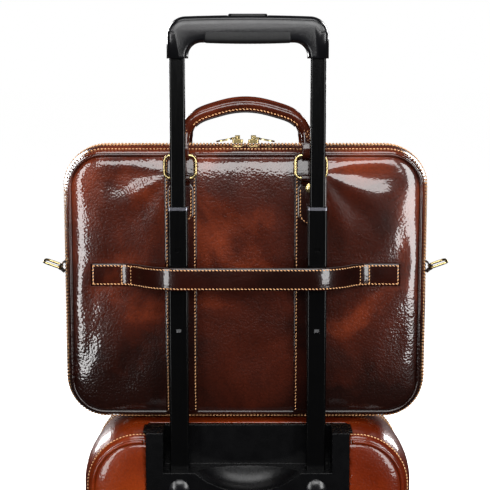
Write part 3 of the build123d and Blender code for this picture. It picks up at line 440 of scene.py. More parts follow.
# ---------------------------------------------------------------- a soft-sided half, for bag and case
class Half:
    """One padded half of the bag or case: a panel, its piped edge, and a gusset to the zip."""

    def __init__(self, node, panel_y, open_y, corners, edge, gusset_in, wall, seed, bulge=0.0):
        low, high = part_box(node)
        self.width, self.low, self.high = high.x - low.x, low.z, high.z
        self.middle = (low.x + high.x) / 2
        self.panel_y, self.open_y, self.way = panel_y, open_y, 1 if open_y > panel_y else -1
        self.span = abs(open_y - panel_y)
        self.corners, self.edge, self.gusset_in, self.wall, self.seed = corners, edge, gusset_in, wall, seed
        self.crown, self.bulge = 0.0068, bulge
        self.folds = 0.0021 if node.startswith("bag") else 0.0

    def outline(self, inset, depth):
        """A loop at an inset from the outline and a depth from the panel."""
        y = self.panel_y + self.way * depth
        points = ring(self.width, self.low, self.high, *self.corners, inset, middle=self.middle)
        return [Vector((x, y, z)) for x, z in points]

    def gusset(self, depth):
        """How far the gusset is drawn in at a depth from the panel."""
        reach = min(self.span * 0.62, 0.036)
        part = min(1.0, max(0.0, 1.0 - (depth - self.crown) / reach))
        swell = self.bulge * math.sin(math.pi * min(1.0, depth / self.span)) ** 1.5
        return self.gusset_in * part ** 2.2 - swell

    def fall(self, s):
        """How far the crowned panel has fallen back at a share s of the way to its edge."""
        return self.crown * s ** 6

    def surface(self, x, z):
        """The panel's Y over the straight stretches of its edge."""
        across = abs(x - self.middle) / (self.width / 2 - self.edge)
        up = abs(z - (self.low + self.high) / 2) / ((self.high - self.low) / 2 - self.edge)
        return self.panel_y + self.way * self.fall(min(1.0, max(across, up)))

    def panel_loops(self, depth, scales, amount=1.0, sink=0.0020):
        """Loops from the middle of the panel to its edge, softly uneven and pulled in at the seam."""
        edge = self.outline(self.edge, depth)
        centre = Vector((self.middle, self.panel_y + self.way * depth, (self.low + self.high) / 2))
        loops = []
        for s in scales:
            loop = []
            for point in edge:
                p = centre.lerp(point, s)
                fade = min(1.0, (1.0 - s) * 9)
                wave = (self.ripple(p.x, p.z) + 0.0005) * fade * amount
                loop.append(p + Vector((0, self.way * (self.fall(s) + sink * s ** 40 + max(wave, 0.0)), 0)))
            loops.append(loop)
        return loops

    def ripple(self, x, z):
        """Inward waves of the leather: broad over the panel, drawn out slantwise towards the sides."""
        side = min(1.0, abs(x - self.middle) / (self.width / 2) * 1.25)
        swell = noise.noise(Vector((x * 9, z * 7, self.seed))) * 0.0012
        slant = noise.noise(Vector((x * 21 - z * 13, (x + z) * 6, self.seed + 3))) * 0.0024 * side ** 2
        crease = noise.noise(Vector((x * 42 + z * 14, z * 30 - x * 10, self.seed + 7))) * 0.0003
        return min(swell + slant + crease + self.fan(x, z), 0.0026)

    def fan(self, x, z):
        """Folds that run out from the upper end of each upright strap towards the side."""
        if not self.folds:
            return 0.0
        across, down = abs(x - self.middle) - 0.086, self.high - 0.030 - z
        reach, furthest = math.hypot(across, down), 0.11
        if across < 0 or reach > furthest:
            return 0.0
        turn = math.atan2(down, across)
        wave = 0.5 - 0.5 * math.cos(turn * 9.0 + 1.4 + (0.9 if x > self.middle else 0.0))
        return self.folds * wave * math.sin(math.pi * min(1.0, reach / furthest)) ** 1.3

    def skin(self, name, leather_look, lining_look, body, slot):
        """The whole closed skin: panel, gusset, rim and lining."""
        span = self.span
        out = self.panel_loops(0.0, [0.03 + 0.97 * (k / 46) for k in range(47)])
        seam = self.crown + 0.0032
        out.append(self.outline(self.edge - 0.0006, seam))
        out.append(self.outline(self.edge - 0.0016, seam + 0.0006))
        steps = 12
        for k in range(steps + 1):
            depth = seam + 0.0010 + (span - seam - 0.0010) * (k / steps) ** 1.15
            loop = self.outline(self.gusset(depth) + 0.0004, depth)
            if 0 < k < steps:
                for p in loop:
                    amount = 0.0006 * noise.noise(Vector((p.x * 16, depth * 40, p.z * 16 + self.seed)))
                    outward = Vector((p.x - self.middle, 0, p.z - (self.low + self.high) / 2)).normalized()
                    p += outward * (amount - 0.0004)
            out.append(loop)
        leather_rows = len(out) - 1
        for share in (0.0, 0.3, 0.6, 1.0):
            depth = span + (seam + 0.006 - span) * share
            out.append(self.outline(self.gusset(depth) + self.wall, depth))
        out.append(self.outline(self.edge + self.wall, self.crown + 0.0085))
        out.extend(self.panel_loops(self.wall + 0.003, [0.97 - 0.94 * k / 12 for k in range(13)], 0.0, 0.0))
        build = Build()
        build.loft(out, lambda row, column: 0 if row < leather_rows else 1)
        return build.piece(name, [leather_look, lining_look], body, slot)

    def outward(self, point):
        """Away from the outline, in the panel's plane."""
        low = self.low + self.corners[0]
        high = self.high - self.corners[1]
        half = self.width / 2
        radius = self.corners[1] if point.z > (low + high) / 2 else self.corners[0]
        x = point.x - self.middle
        core = Vector((max(-(half - radius), min(half - radius, x)), 0, max(low, min(high, point.z))))
        found = Vector((x, 0, point.z)) - core
        return found.normalized() if found.length > 1e-6 else Vector((0, 0, 1))

    def trim(self, body, slot, look, thread_look, name, keep=None, radius=0.0024):
        """Leather-covered cord in the panel's seam, and rows of stitches on the gusset beside it."""
        cord = Build()
        for path, closed in runs(self.outline(self.edge - 0.0010, self.crown + 0.0012), keep):
            sweep(cord, path, circle(radius, 10), Vector((0, -self.way, 0)), closed=closed)
        cord.piece(name + "_piping", look, body, slot)
        rows = Build()
        for depth in (self.crown + 0.0095, self.span - 0.0105, self.span - 0.0065):
            for path, closed in runs(self.outline(self.gusset(depth) + 0.0002, depth), keep):
                sew(rows, path, self.outward, closed=closed)
        rows.piece(name + "_gusset_stitches", thread_look, body, slot)
        coil = Build()
        for path, closed in runs(self.outline(self.wall + 0.0012, self.span + 0.0002), keep):
            sew(coil, path, self.outward, pitch=0.0021, length=0.0013, radius=0.0008, closed=closed, lift=0.0)
        coil.piece(name + "_zip_teeth", ZIP_COIL, body, slot)


def runs(path, keep=None):
    """The stretches of a closed path whose points are kept, as (points, closed) pairs."""
    if keep is None or all(keep(p) for p in path):
        return [(path, True)]
    start = next(k for k, p in enumerate(path) if not keep(p))
    found, current = [], []
    for p in path[start:] + path[:start]:
        if keep(p):
            current.append(p)
        elif current:
            found.append(current)
            current = []
    if current:
        found.append(current)
    return [(points, False) for points in found if len(points) > 3]


def carve(target, blocks):
    """Cuts closed shapes out of a piece and applies the result."""
    for block in blocks:
        change = target.modifiers.new("cut", "BOOLEAN")
        change.object = block
        change.solver = "EXACT"
    result = bpy.data.meshes.new_from_object(target.evaluated_get(bpy.context.evaluated_depsgraph_get()))
    target.modifiers.clear()
    target.data = result
    for block in blocks:
        bpy.data.objects.remove(block)


def cutter(x_low, x_high, y_low, y_high, z_low, z_high, corner):
    """A block, with its upright-plane corners rounded, that cuts a hole and is then removed."""
    outline = ring(x_high - x_low, z_low, z_high, corner, corner, middle=(x_low + x_high) / 2)
    build = Build()
    build.loft([[Vector((x, y, z)) for x, z in outline] for y in (y_low, y_high)])
    return build.piece("cutter", [], None, "")


# ---------------------------------------------------------------- straps, chapes and handles
def leather_band(name, path, width, thickness, out, body, crown=0.0004):
    """A strip of brown leather with painted edges."""
    section = band(width, thickness, crown)
    edges = (1, len(section) - 1)
    build = Build()
    sweep(build, path, section, out, lambda row, column: 1 if column in edges else 0)
    return build.piece(name, [BROWN_TRIM, DARK_EDGE], body, "brown_leather")


def flat_strap(name, path, width, thickness, out, body, margin=0.0028, row=None):
    """A leather strap with painted edges and a row of stitches along each side."""
    made = leather_band(name, path, width, thickness, out, body)
    stitches = Build()
    path = resample(path, 0.004)
    ways = directions(path)
    for side in (-1, 1):
        line = []
        for point, way in zip(path, ways):
            outward = (out - way * out.dot(way)).normalized()
            across = way.cross(outward) * side * (width / 2 - margin)
            line.append(point + across + outward * (thickness + 0.0002))
        sew(stitches, line[1:-1], out)
    if row:
        row(stitches)
    stitches.piece(name + "_stitches", OCHRE, body, "brown_leather")
    return made


BACK, FRONT = Vector((0, -1, 0)), Vector((0, 1, 0))


def panel_straps(face, body):
    """Upright straps, chapes and rivets on one half of the bag."""
    out = BACK if face == "back" else FRONT
    for side in SIDES:
        low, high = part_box(f"{face}_strap_{side}")
        x = (low.x + high.x) / 2
        y_panel = high.y if face == "back" else low.y
        sunk, rise = 0.0014, high.y - low.y
        half_bag = BAG_BACK if face == "back" else BAG_FRONT
        span = 60
        heights = [low.z - 0.001 + (high.z - low.z + 0.002) * k / span for k in range(span + 1)]
        path = [Vector((x, half_bag.surface(x, z) - out.y * sunk, z)) for z in heights]
        made = flat_strap(f"{face}_panel_strap_{side}", path, high.x - low.x, rise + sunk, out, body)
        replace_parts(made, f"{face}_strap_{side}")
        chape(face, side, x, y_panel + out.y * rise, out, body)


def chape(face, side, x, y, out, body):
    """Rounded leather flap, its loop round the ring's lower bar, stitches and a domed rivet."""
    low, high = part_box(f"{face}_chape_{side}")
    ring_low, ring_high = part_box(f"{face}_ring_{side}")
    half_bag = BAG_BACK if face == "back" else BAG_FRONT
    ring_y, wire = (ring_low.y + ring_high.y) / 2, ring_high.y - ring_low.y
    bar = Vector((x, ring_y, ring_low.z + wire / 2))
    half, loop_half = (high.x - low.x) / 2, 0.0112
    thickness, loop_thickness = 0.0021, 0.0012
    shoulder_z, loop_start_z = 0.796, 0.8015
    back = y - out.y * 0.0004
    inner = wire / 2 + 0.0001
    outline = []
    for k in range(25):
        c, s = turned(180 + 180 * k / 24)
        outline.append((half * c, low.z + half + half * s))
    neck = [(half, shoulder_z), (half * 0.93, 0.8005), (loop_half + 0.001, 0.8035), (loop_half, 0.8065)]
    outline += neck + [(-u, v) for u, v in reversed(neck)]
    middle_z = sum(v for u, v in outline) / len(outline)

    def level(inset, depth):
        points = []
        for u, v in outline:
            away = Vector((u, 0, v - middle_z))
            p = Vector((u, 0, v)) - away.normalized() * inset
            fall = half_bag.surface(x, p.z) - (y - out.y * 0.002)
            points.append(Vector((x + p.x, back + fall + out.y * depth, p.z)))
        return points

    flap = Build()
    flap.loft([level(0.0, 0.0), level(0.0, thickness * 0.75), level(0.0008, thickness),
               level(0.003, thickness + 0.0002), level(half * 0.6, thickness + 0.0005)],
              lambda row, column: 1 if row < 1 else 0)
    made = flap.piece(f"{face}_chape_flap_{side}", [BROWN_TRIM, DARK_EDGE], body, "brown_leather")
    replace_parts(made, f"{face}_chape_{side}")
    path = [Vector((x, back + out.y * thickness * 0.9, loop_start_z))]
    for angle in range(-62, 181, 11):
        c, s = turned(angle)
        path.append(Vector((x, bar.y + out.y * c * (inner + 0.0001), bar.z + s * (inner + 0.0001))))
    path.append(Vector((x, bar.y - out.y * inner, bar.z - 0.004)))
    path.append(Vector((x, back - out.y * 0.0005, bar.z - 0.009)))

    def round_bar(point):
        away = point - bar
        away.x = 0
        if point.z > bar.z - 0.0028:
            return away
        return out if (point.y - bar.y) * out.y > 0 else -out

    leather_band(f"{face}_chape_loop_{side}", resample(path, 0.0016), 2 * loop_half, loop_thickness,
                 round_bar, body, crown=0.0001)
    reach = half - 0.0034
    line = [(x - reach, shoulder_z - 0.001)]
    for angle in range(180, 361, 9):
        c, s = turned(angle)
        line.append((x + reach * c, low.z + half + reach * s))
    line.append((x + reach, shoulder_z - 0.001))
    stitches = Build()
    sew(stitches, [Vector((u, back + out.y * (thickness + 0.0004), v)) for u, v in line], out, lift=0.0)
    stitches.piece(f"{face}_chape_stitches_{side}", OCHRE, body, "brown_leather")
    rivet_z = bar.z - 0.0115
    profile = [(0.0061, 0.0), (0.0062, 0.0009), (0.0056, 0.0013), (0.0050, 0.0011), (0.0044, 0.0015),
               (0.0028, 0.0019), (0.0012, 0.0021), (0.0002, 0.00215)]
    rivet = Build()
    rivet.loft([[Vector((x + u, back + out.y * (thickness + rise), rivet_z + v))
                 for u, v in circle(radius, 32)] for radius, rise in profile])
    rivet.piece(f"{face}_rivet_{side}", BRASS, body, "brass")


def carry_handle(node, body, out):
    """Rolled leather handle: cord core, seam with slanted stitches, black edge and tabs round the rings."""
    low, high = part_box(node)
    middle = (low.x + high.x) / 2
    plane = (BAG_BACK if out.y < 0 else BAG_FRONT).panel_y + out.y * 0.002
    (arm, arm_z), (shoulder, shoulder_z), crown_z = (0.076, 0.849 - 0.004), (0.0665, 0.880), 0.900
    corners = [(middle - arm, arm_z), (middle - shoulder, shoulder_z), (middle, crown_z),
               (middle + shoulder, shoulder_z), (middle + arm, arm_z)]
    path = softened(rounded_path([(x, plane, z) for x, z in corners], [0.030, 0.100, 0.030], 0.0035), 3)
    radius = 0.0070

    def thick(t):
        return 0.80 + 0.20 * min(1.0, min(t, 1 - t) / 0.16)

    def crest(point):
        return (point - Vector((middle, plane, 0.800))).normalized()

    section = []
    for k in range(22):
        a = 2 * math.pi * k / 22
        u, v = math.cos(a), math.sin(a)
        pinch = 1.0 + 0.16 * max(0.0, -v) ** 6
        section.append((radius * u * (1 - 0.12 * max(0.0, -v) ** 2), radius * v * pinch))
    roll = Build()
    sweep(roll, path, section, crest, size=thick)
    made = roll.piece(node + "_roll", BROWN_TRIM, body, "brown_leather")
    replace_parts(made, node)
    span = len(path)
    under = path[round(span * 0.17):round(span * 0.83)]
    edge = Build()
    sweep(edge, [p - crest(p) * radius * 1.10 for p in under], circle(0.0016, 8), crest)
    edge.piece(node + "_seam_edge", DARK_EDGE, body, "dark_leather")
    stitches = Build()
    for side in (-1, 1):
        line = [p - crest(p) * radius * 0.72 + Vector((0, side * radius * 0.76, 0)) for p in under]
        sew(stitches, line, Vector((0, side, 0)), length=0.0030, zigzag=0.25)
    for side in (-1, 1):
        for part in (path[2:round(span * 0.17)], path[round(span * 0.83):-2]):
            line = [p + Vector((0.0, out.y * radius * 0.82, 0)) + crest(p).cross(out) * side * 0.0035
                    for p in part]
            sew(stitches, line, out, length=0.0026)
    stitches.piece(node + "_stitches", OCHRE, body, "brown_leather")
    tabs(node, body, out, plane)


def tabs(node, body, out, plane):
    """Leather tabs that join the rolled handle to each ring."""
    face = "back" if out.y < 0 else "front"
    for side, sign in SIDES.items():
        ring_low, ring_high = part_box(f"{face}_ring_{side}")
        wire = ring_high.y - ring_low.y
        bar = Vector(((ring_low.x + ring_high.x) / 2, (ring_low.y + ring_high.y) / 2, ring_high.z - wire / 2))
        inner, thickness = wire / 2 + 0.0001, 0.0018
        path = [Vector((bar.x, plane + out.y * 0.0015, 0.860)),
                Vector((bar.x, plane + out.y * 0.0030, 0.855)),
                Vector((bar.x, bar.y + out.y * (inner + 0.0001), 0.845))]
        for angle in range(0, -181, -12):
            c, s = turned(angle)
            path.append(Vector((bar.x, bar.y + out.y * c * inner, bar.z + s * inner)))
        path.append(Vector((bar.x, bar.y - out.y * inner * 0.9, bar.z + 0.010)))
        path.append(Vector((bar.x, plane - out.y * 0.001, 0.858)))

        def away(point):
            found = point - bar
            found.x = 0
            if point.z > bar.z:
                return out if (point.y - bar.y) * out.y > 0 else -out
            return found

        leather_band(f"{node}_tab_{side}", resample(path, 0.0018), 0.0205, thickness, away, body)
        pad = Build()
        loops = []
        for z, half, thick_in in ((0.8425, 0.0104, 0.0026), (0.848, 0.0104, 0.0036), (0.854, 0.0096, 0.0052),
                                  (0.861, 0.0078, 0.0062), (0.868, 0.0060, 0.0060)):
            x = bar.x - sign * (z - 0.849) * 0.306
            y = bar.y + (plane - bar.y) * min(1.0, max(0.0, (z - 0.8425) / 0.018))
            loops.append([Vector((x + half * power(c, 0.7), y + thick_in * power(s, 0.8), z))
                          for c, s in circle(1.0, 24)])
        pad.loft(loops)
        pad.piece(f"{node}_arm_end_{side}", BROWN_TRIM, body, "brown_leather")


def trolley_strap():
    """Strap that slips over the pull handle: sewn flat at both ends, painted edges, two cross rows."""
    low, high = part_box("trolley_strap")
    middle, z = (low.x + high.x) / 2, (low.z + high.z) / 2
    panel, thickness = BAG_BACK.panel_y, 0.0036
    loop_y = low.y + thickness
    end = (high.x - low.x) / 2
    sewn, loop = 0.050, 0.104
    corners = [(-end, panel), (-end + sewn, panel), (-loop, loop_y), (loop, loop_y),
               (end - sewn, panel), (end, panel)]
    path = rounded_path([(middle + x, y, z) for x, y in corners], [0.036, 0.060, 0.060, 0.036], 0.004)

    def row(stitches):
        for side in (-1, 1):
            for x in (0.1345, 0.1455):
                y = min(path, key=lambda p: abs(p.x - middle - side * x)).y - thickness - 0.0004
                line = [Vector((middle + side * x, y, z + v * MM)) for v in (-9.5, 9.5)]
                sew(stitches, line, BACK, pitch=0.0036)
            x, y = end - 0.0028, panel - thickness - 0.0004
            sew(stitches, [Vector((middle + side * x, y, z + v * MM)) for v in (-10, 10)], BACK)

    made = flat_strap("trolley_strap_band", path, high.z - low.z, thickness, BACK, "bag",
                      margin=0.0024, row=row)
    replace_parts(made, "trolley_strap")


def side_tab(side, sign):
    """A short leather loop sewn to the bag's side, folded round the bar of the ring."""
    low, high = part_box(f"side_tab_{side}")
    bar, face = (low + high) / 2, low.x if sign > 0 else high.x
    inner, thickness, leg = 0.0016, 0.0020, 0.0045
    fold = [(bar.x + sign * inner * c, bar.z + inner * s) for c, s in map(turned, range(108, -109, -12))]
    path = [(face - sign * 0.0008, bar.z + leg + 0.0009), (face + sign * 0.0012, bar.z + leg - 0.0006)] + fold
    path += [(face + sign * 0.0012, bar.z - leg + 0.0006), (face - sign * 0.0008, bar.z - leg - 0.0009)]

    def away(point):
        return Vector((sign * max(0.0, (point.x - bar.x) * sign), 0, point.z - bar.z))

    path = [Vector((x, bar.y, z)) for x, z in path]
    made = leather_band(f"side_loop_{side}", path, high.y - low.y, thickness, away, "bag")
    stitches = Build()
    for up in (-1, 1):
        z = bar.z + up * (leg - 0.0010 + thickness)
        sew(stitches, [Vector((face + sign * 0.0014, y, z)) for y in (low.y + 0.0015, high.y - 0.0015)],
            Vector((0, 0, up)), pitch=0.0034)
    stitches.piece(f"side_loop_{side}_stitches", OCHRE, "bag", "brown_leather")
    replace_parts(made, f"side_tab_{side}")


def bag_zip():
    """Tape of the bag's zip with its dip in the middle, and the coil that runs along it."""
    low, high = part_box("bag_zip")
    half_y, depth = (high.y - low.y) / 2, abs((low.y + high.y) / 2 - BAG_BACK.panel_y)
    section = [(-0.85, -0.0014), (0.85, -0.0014), (0.9, 0.0006), (0.62, 0.0009),
               (0.2, 0.0002), (-0.2, 0.0002), (-0.62, 0.0009), (-0.9, 0.0006)]
    section = [(u * half_y, v) for u, v in section]
    tape = Build()
    sweep(tape, BAG_BACK.outline(0.0020, depth), section, BAG_BACK.outward, closed=True)
    made = tape.piece("bag_zip_tape", ZIP_TAPE, "bag", "brown_leather")
    coil = Build()
    sew(coil, BAG_BACK.outline(0.0018, depth), BAG_BACK.outward, pitch=0.0019, length=0.0012, radius=0.0007,
        closed=True, lift=0.0)
    coil.piece("bag_zip_coil", ZIP_COIL, "bag", "brass")
    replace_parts(made, "bag_zip")


# ---------------------------------------------------------------- the laptop bag
def bag_half(node, flip, seed):
    low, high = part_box(node)
    near, far = (high.y, low.y) if flip else (low.y, high.y)
    return Half(node, near, far, (0.050, 0.050), 0.0115, 0.0095, 0.003, seed)


BAG_BACK = bag_half("bag_back", False, 3.0)
BAG_FRONT = bag_half("bag_front", True, 31.0)
for half_bag, body, face in ((BAG_BACK, "bag", "back"), (BAG_FRONT, "bag_front", "front")):
    skin = half_bag.skin(f"bag_{face}_skin", BROWN, LINING, body, "brown_leather")
    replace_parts(skin, f"bag_{face}")
    half_bag.trim(body, "brown_leather", BROWN_TRIM, OCHRE, f"bag_{face}")
    panel_straps(face, body)
carry_handle("back_handle", "back_handle", BACK)
carry_handle("front_handle", "front_handle", FRONT)
trolley_strap()
bag_zip()
for side, sign in SIDES.items():
    side_tab(side, sign)


# ---------------------------------------------------------------- the wheeled case
def case_half(node, flip, seed):
    low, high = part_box(node)
    near, far = (high.y, low.y) if flip else (low.y, high.y)
    return Half(node, near, far, (0.040, 0.065), 0.0115, 0.0085, 0.0035, seed, 0.0 if flip else 0.0042)


CASE = case_half("case_shell", False, 57.0)
LID = case_half("lid_shell", True, 83.0)
HOUSING_LOW, HOUSING_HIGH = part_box("trolley_housing")
PODS = [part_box(f"wheel_pod_{side}") for side in SIDES]
ROOM = 0.0003


def clear_of_housing(p):
    """True where the case's trim isn't in the way of the housing or a wheel pod."""
    half, near = (HOUSING_HIGH.x - HOUSING_LOW.x) / 2 - 0.0035, 0.002
    if abs(p.x) < half and p.z > HOUSING_LOW.z - near and p.y < HOUSING_HIGH.y + near:
        return False
    return not any(lo.x - near < p.x < hi.x + near and p.z < hi.z + near and p.y < hi.y + near
                   for lo, hi in PODS)


case_skin = CASE.skin("case_skin", TAN, LINING, "case", "tan_leather")
inner_half = (HOUSING_HIGH.x - HOUSING_LOW.x) / 2 - 0.004 + ROOM
BEHIND, ABOVE = -0.15, 0.60
cuts = [cutter(-inner_half, inner_half, BEHIND, HOUSING_HIGH.y - 0.004 + ROOM,
               HOUSING_LOW.z - ROOM, ABOVE, 0.009)]
cuts += [cutter(lo.x - ROOM, hi.x + ROOM, BEHIND, hi.y + ROOM, 0.0, hi.z + ROOM, 0.006) for lo, hi in PODS]
carve(case_skin, cuts)
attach(case_skin, "case")
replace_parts(case_skin, "case_shell")
CASE.trim("case", "tan_leather", TAN, TAN_THREAD, "case", clear_of_housing)
lid_skin = LID.skin("lid_skin", TAN, LINING, "lid", "tan_leather")
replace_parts(lid_skin, "lid_shell")
LID.trim("lid", "tan_leather", TAN, TAN_THREAD, "lid")

# ---------------------------------------------------------------- pull handle grip
def grip_outline(inset):
    """Outline of the U-shaped grip in X and Z, drawn in by an inset; the sleeves' ends stay level."""
    low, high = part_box("grip_shell")
    half, sleeve, under = (high.x - low.x) / 2, 0.0245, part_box("grip_insert")[0].z + 0.0004
    shoulder, crook = 0.021, 0.015
    points = [(-half, low.z, -1, 0)]
    for k in range(13):
        c, s = turned(180 - 90 * k / 12)
        points.append((-half + shoulder + shoulder * c, high.z - shoulder + shoulder * s, c, s))
    points += [(x * 0.01, high.z, 0, 1) for x in range(-6, 7)]
    points += [(-x, z, -nx, nz) for x, z, nx, nz in points[13:0:-1]]
    points += [(half, low.z, 1, 0), (half - sleeve, low.z, -1, 0)]
    for k in range(13):
        c, s = turned(90 * k / 12)
        points.append((half - sleeve - crook + crook * c, under - crook + crook * s, -c, -s))
    points += [(x * 0.01, under, 0, -1) for x in range(4, -5, -1)]
    points += [(-x, z, -nx, nz) for x, z, nx, nz in points[-10:-23:-1]] + [(sleeve - half, low.z, 1, 0)]
    droop = 0.0022
    return [(x - nx * inset, max(low.z, z - nz * inset) - (droop * (x / half) ** 2 if nz > 0.2 else 0.0))
            for x, z, nx, nz in points]


grip_low, grip_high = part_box("grip_shell")
grip_y, grip_half = (grip_low.y + grip_high.y) / 2, (grip_high.y - grip_low.y) / 2
levels = [(0.0100, 1.0), (0.0075, 0.985), (0.0055, 0.955)]
levels += [(0.0052 * (1 - c), s * 0.95) for c, s in map(turned, range(80, -1, -10))]
levels += [(inset, -y) for inset, y in levels[-2::-1]]
grip = Build()
grip.loft([[Vector((x, grip_y - grip_half * y, z)) for x, z in grip_outline(inset)] for inset, y in levels],
          caps=(False, False))
ring_size = len(grip_outline(0.0))
grip.faces += [tuple(range(ring_size)), tuple(len(grip.vertices) - ring_size + k for k in range(ring_size))]
grip.numbers += [0, 0]
grip_piece = grip.piece("grip_body", GREY_PLASTIC, "inner_stage", "black_plastic")
button_low, button_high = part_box("release_button")
gap = 0.0005
carve(grip_piece, [cutter(button_low.x - gap, button_high.x + gap, button_low.y - gap, button_high.y + gap,
                          button_low.z - 0.006, 1.2, 0.004)])
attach(grip_piece, "inner_stage")
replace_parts(grip_piece, "grip_shell")
pad_low, pad_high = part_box("grip_insert")
pad = Build()
rings = 60
pad_loops = []
for k in range(rings + 1):
    u = 2 * k / rings - 1
    x = u * (pad_high.x - pad_low.x) / 2
    end = min(1.0, (1 - abs(u)) * 24)
    rib = 1.0 - 0.012 * (0.5 + 0.5 * math.cos(2 * math.pi * x / 0.0056))
    swell = (0.90 + 0.10 * end ** 0.5) * rib
    half_y = (pad_high.y - pad_low.y) / 2 * swell
    half_z = ((pad_high.z - pad_low.z) / 2 + 0.0006 * (1 - u * u)) * swell
    middle_z = (pad_low.z + pad_high.z) / 2 - 0.0004 * (1 - u * u)
    pad_loops.append([Vector((x, grip_y + half_y * power(c, 0.45), middle_z + half_z * power(s, 0.55)))
                      for c, s in circle(1.0, 40)])
pad.loft(pad_loops)
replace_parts(pad.piece("grip_soft_insert", SOFT_GRIP, "inner_stage", "soft_grip"), "grip_insert")


# ---------------------------------------------------------------- inside pocket, bellows and hinge
def quilted(name, x_half, z_low, z_high, y, thickness):
    """A quilted panel: crowned pads between sewn channels, thin at its bound edge."""
    nx, nz, channels = 72, 52, (9, 6)
    fronts, backs = [], []
    for k in range(nz + 1):
        v = k / nz
        row_front, row_back = [], []
        for m in range(nx + 1):
            u = m / nx
            border = min(u * 2 * x_half, (1 - u) * 2 * x_half,
                         v * (z_high - z_low), (1 - v) * (z_high - z_low))
            puff = (abs(math.sin(math.pi * channels[0] * u)) ** 0.4
                    * abs(math.sin(math.pi * channels[1] * v)) ** 0.4)
            half = thickness / 2 * (0.42 + 0.58 * puff) * min(1.0, 0.35 + border / 0.006)
            x = BAG_BACK.middle + (2 * u - 1) * x_half
            z = z_low + v * (z_high - z_low)
            row_front.append(Vector((x, y - half, z)))
            row_back.append(Vector((x, y + half, z)))
        fronts.append(row_front)
        backs.append(row_back)
    build = Build()
    build.loft([f + b[::-1] for f, b in zip(fronts, backs)])
    made = build.piece(name, LINING, "bag", "lining")
    return made


SLEEVE_LOW, SLEEVE_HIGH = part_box("laptop_sleeve")
sleeve_x = (SLEEVE_HIGH.x - SLEEVE_LOW.x) / 2 - 0.017
pad_z, back_y, front_y = SLEEVE_LOW.z + 0.012, SLEEVE_LOW.y + 0.0085, SLEEVE_HIGH.y - 0.0028
inner_pad = quilted("sleeve_back_pad", sleeve_x, pad_z, SLEEVE_HIGH.z, back_y, 0.0045)
quilted("sleeve_front_pad", sleeve_x, pad_z, SLEEVE_HIGH.z - 0.006, front_y, 0.0050)
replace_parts(inner_pad, "laptop_sleeve")
gusset = Build()
U_PATH = [p for p in ring(2 * sleeve_x, SLEEVE_LOW.z + 0.010, SLEEVE_HIGH.z + 0.05, 0.016, 0.016,
                          middle=BAG_BACK.middle) if p[1] < SLEEVE_HIGH.z - 0.004]
U_PATH = sorted((p for p in U_PATH if p[0] < BAG_BACK.middle), key=lambda p: (-p[1], p[0])) + sorted(
    (p for p in U_PATH if p[0] >= BAG_BACK.middle), key=lambda p: (p[1], p[0]))
mid_y, web_half, web_z = (back_y + front_y) / 2, (front_y - back_y) / 2, 0.70
sweep(gusset, resample([Vector((x, mid_y, z)) for x, z in U_PATH], 0.008),
      [(u * web_half, v * 0.0006) for u, v in CORNERS],
      lambda p: Vector((p.x - BAG_BACK.middle, 0, p.z - web_z)))
gusset.piece("sleeve_side_web", ZIP_TAPE, "bag", "lining")


def bellows(name, half, depth, start_y, end_y, z_top, material, slot):
    """Folded web inside the bag's base."""
    build = Build()
    section = [(-0.0006, 0.0), (0.0008, 0.72), (0.00135, 1.0), (0.0019, 0.72), (0.0033, 0.0),
               (0.0027, 0.0), (0.0016, 0.66), (0.00135, 0.90), (0.0011, 0.66), (0.0, 0.0)]
    rings = [ring(half.width, half.low, half.high, 0.05, 0.05, half.wall + 0.0004 + share * depth,
                  middle=half.middle) for _, share in section]
    keep = [k for k, (_, z) in enumerate(rings[0]) if z < z_top]
    gap = next(i for i in range(len(keep)) if keep[(i + 1) % len(keep)] != keep[i] + 1)
    keep = keep[gap + 1:] + keep[:gap + 1]
    build.loft([[Vector((rings[n][k][0], start_y + y, rings[n][k][1]))
                 for n, (y, _) in enumerate(section)] for k in keep])
    made = build.piece(name, material, None, slot)
    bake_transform(made)
    return made


ZIP_LOW, ZIP_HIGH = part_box("bag_zip")
bellows("bag_base_bellows", BAG_BACK, 0.028, ZIP_LOW.y, BAG_FRONT.open_y, BAG_BACK.low + 0.045,
        LINING, "lining")
hinge = Build()
hinge_x = -(LID.width / 2) - 0.0004
case_y, lid_y, fold_y = CASE.open_y, LID.open_y, (CASE.open_y + LID.open_y) / 2
section = [(hinge_x, case_y - 0.009), (hinge_x - 0.0007, case_y - 0.008), (hinge_x - 0.0009, case_y),
           (hinge_x - 0.0012, fold_y), (hinge_x - 0.0009, lid_y), (hinge_x - 0.0007, lid_y + 0.008),
           (hinge_x, lid_y + 0.009), (hinge_x + 0.0002, lid_y), (hinge_x, fold_y), (hinge_x + 0.0002, case_y)]
hinge.loft([[Vector((x, y, z)) for x, y in section] for z in (0.100 + 0.01 * k for k in range(34))])
hinge_piece = hinge.piece("lid_hinge_strip", TAN, None, "tan_leather")
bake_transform(hinge_piece)

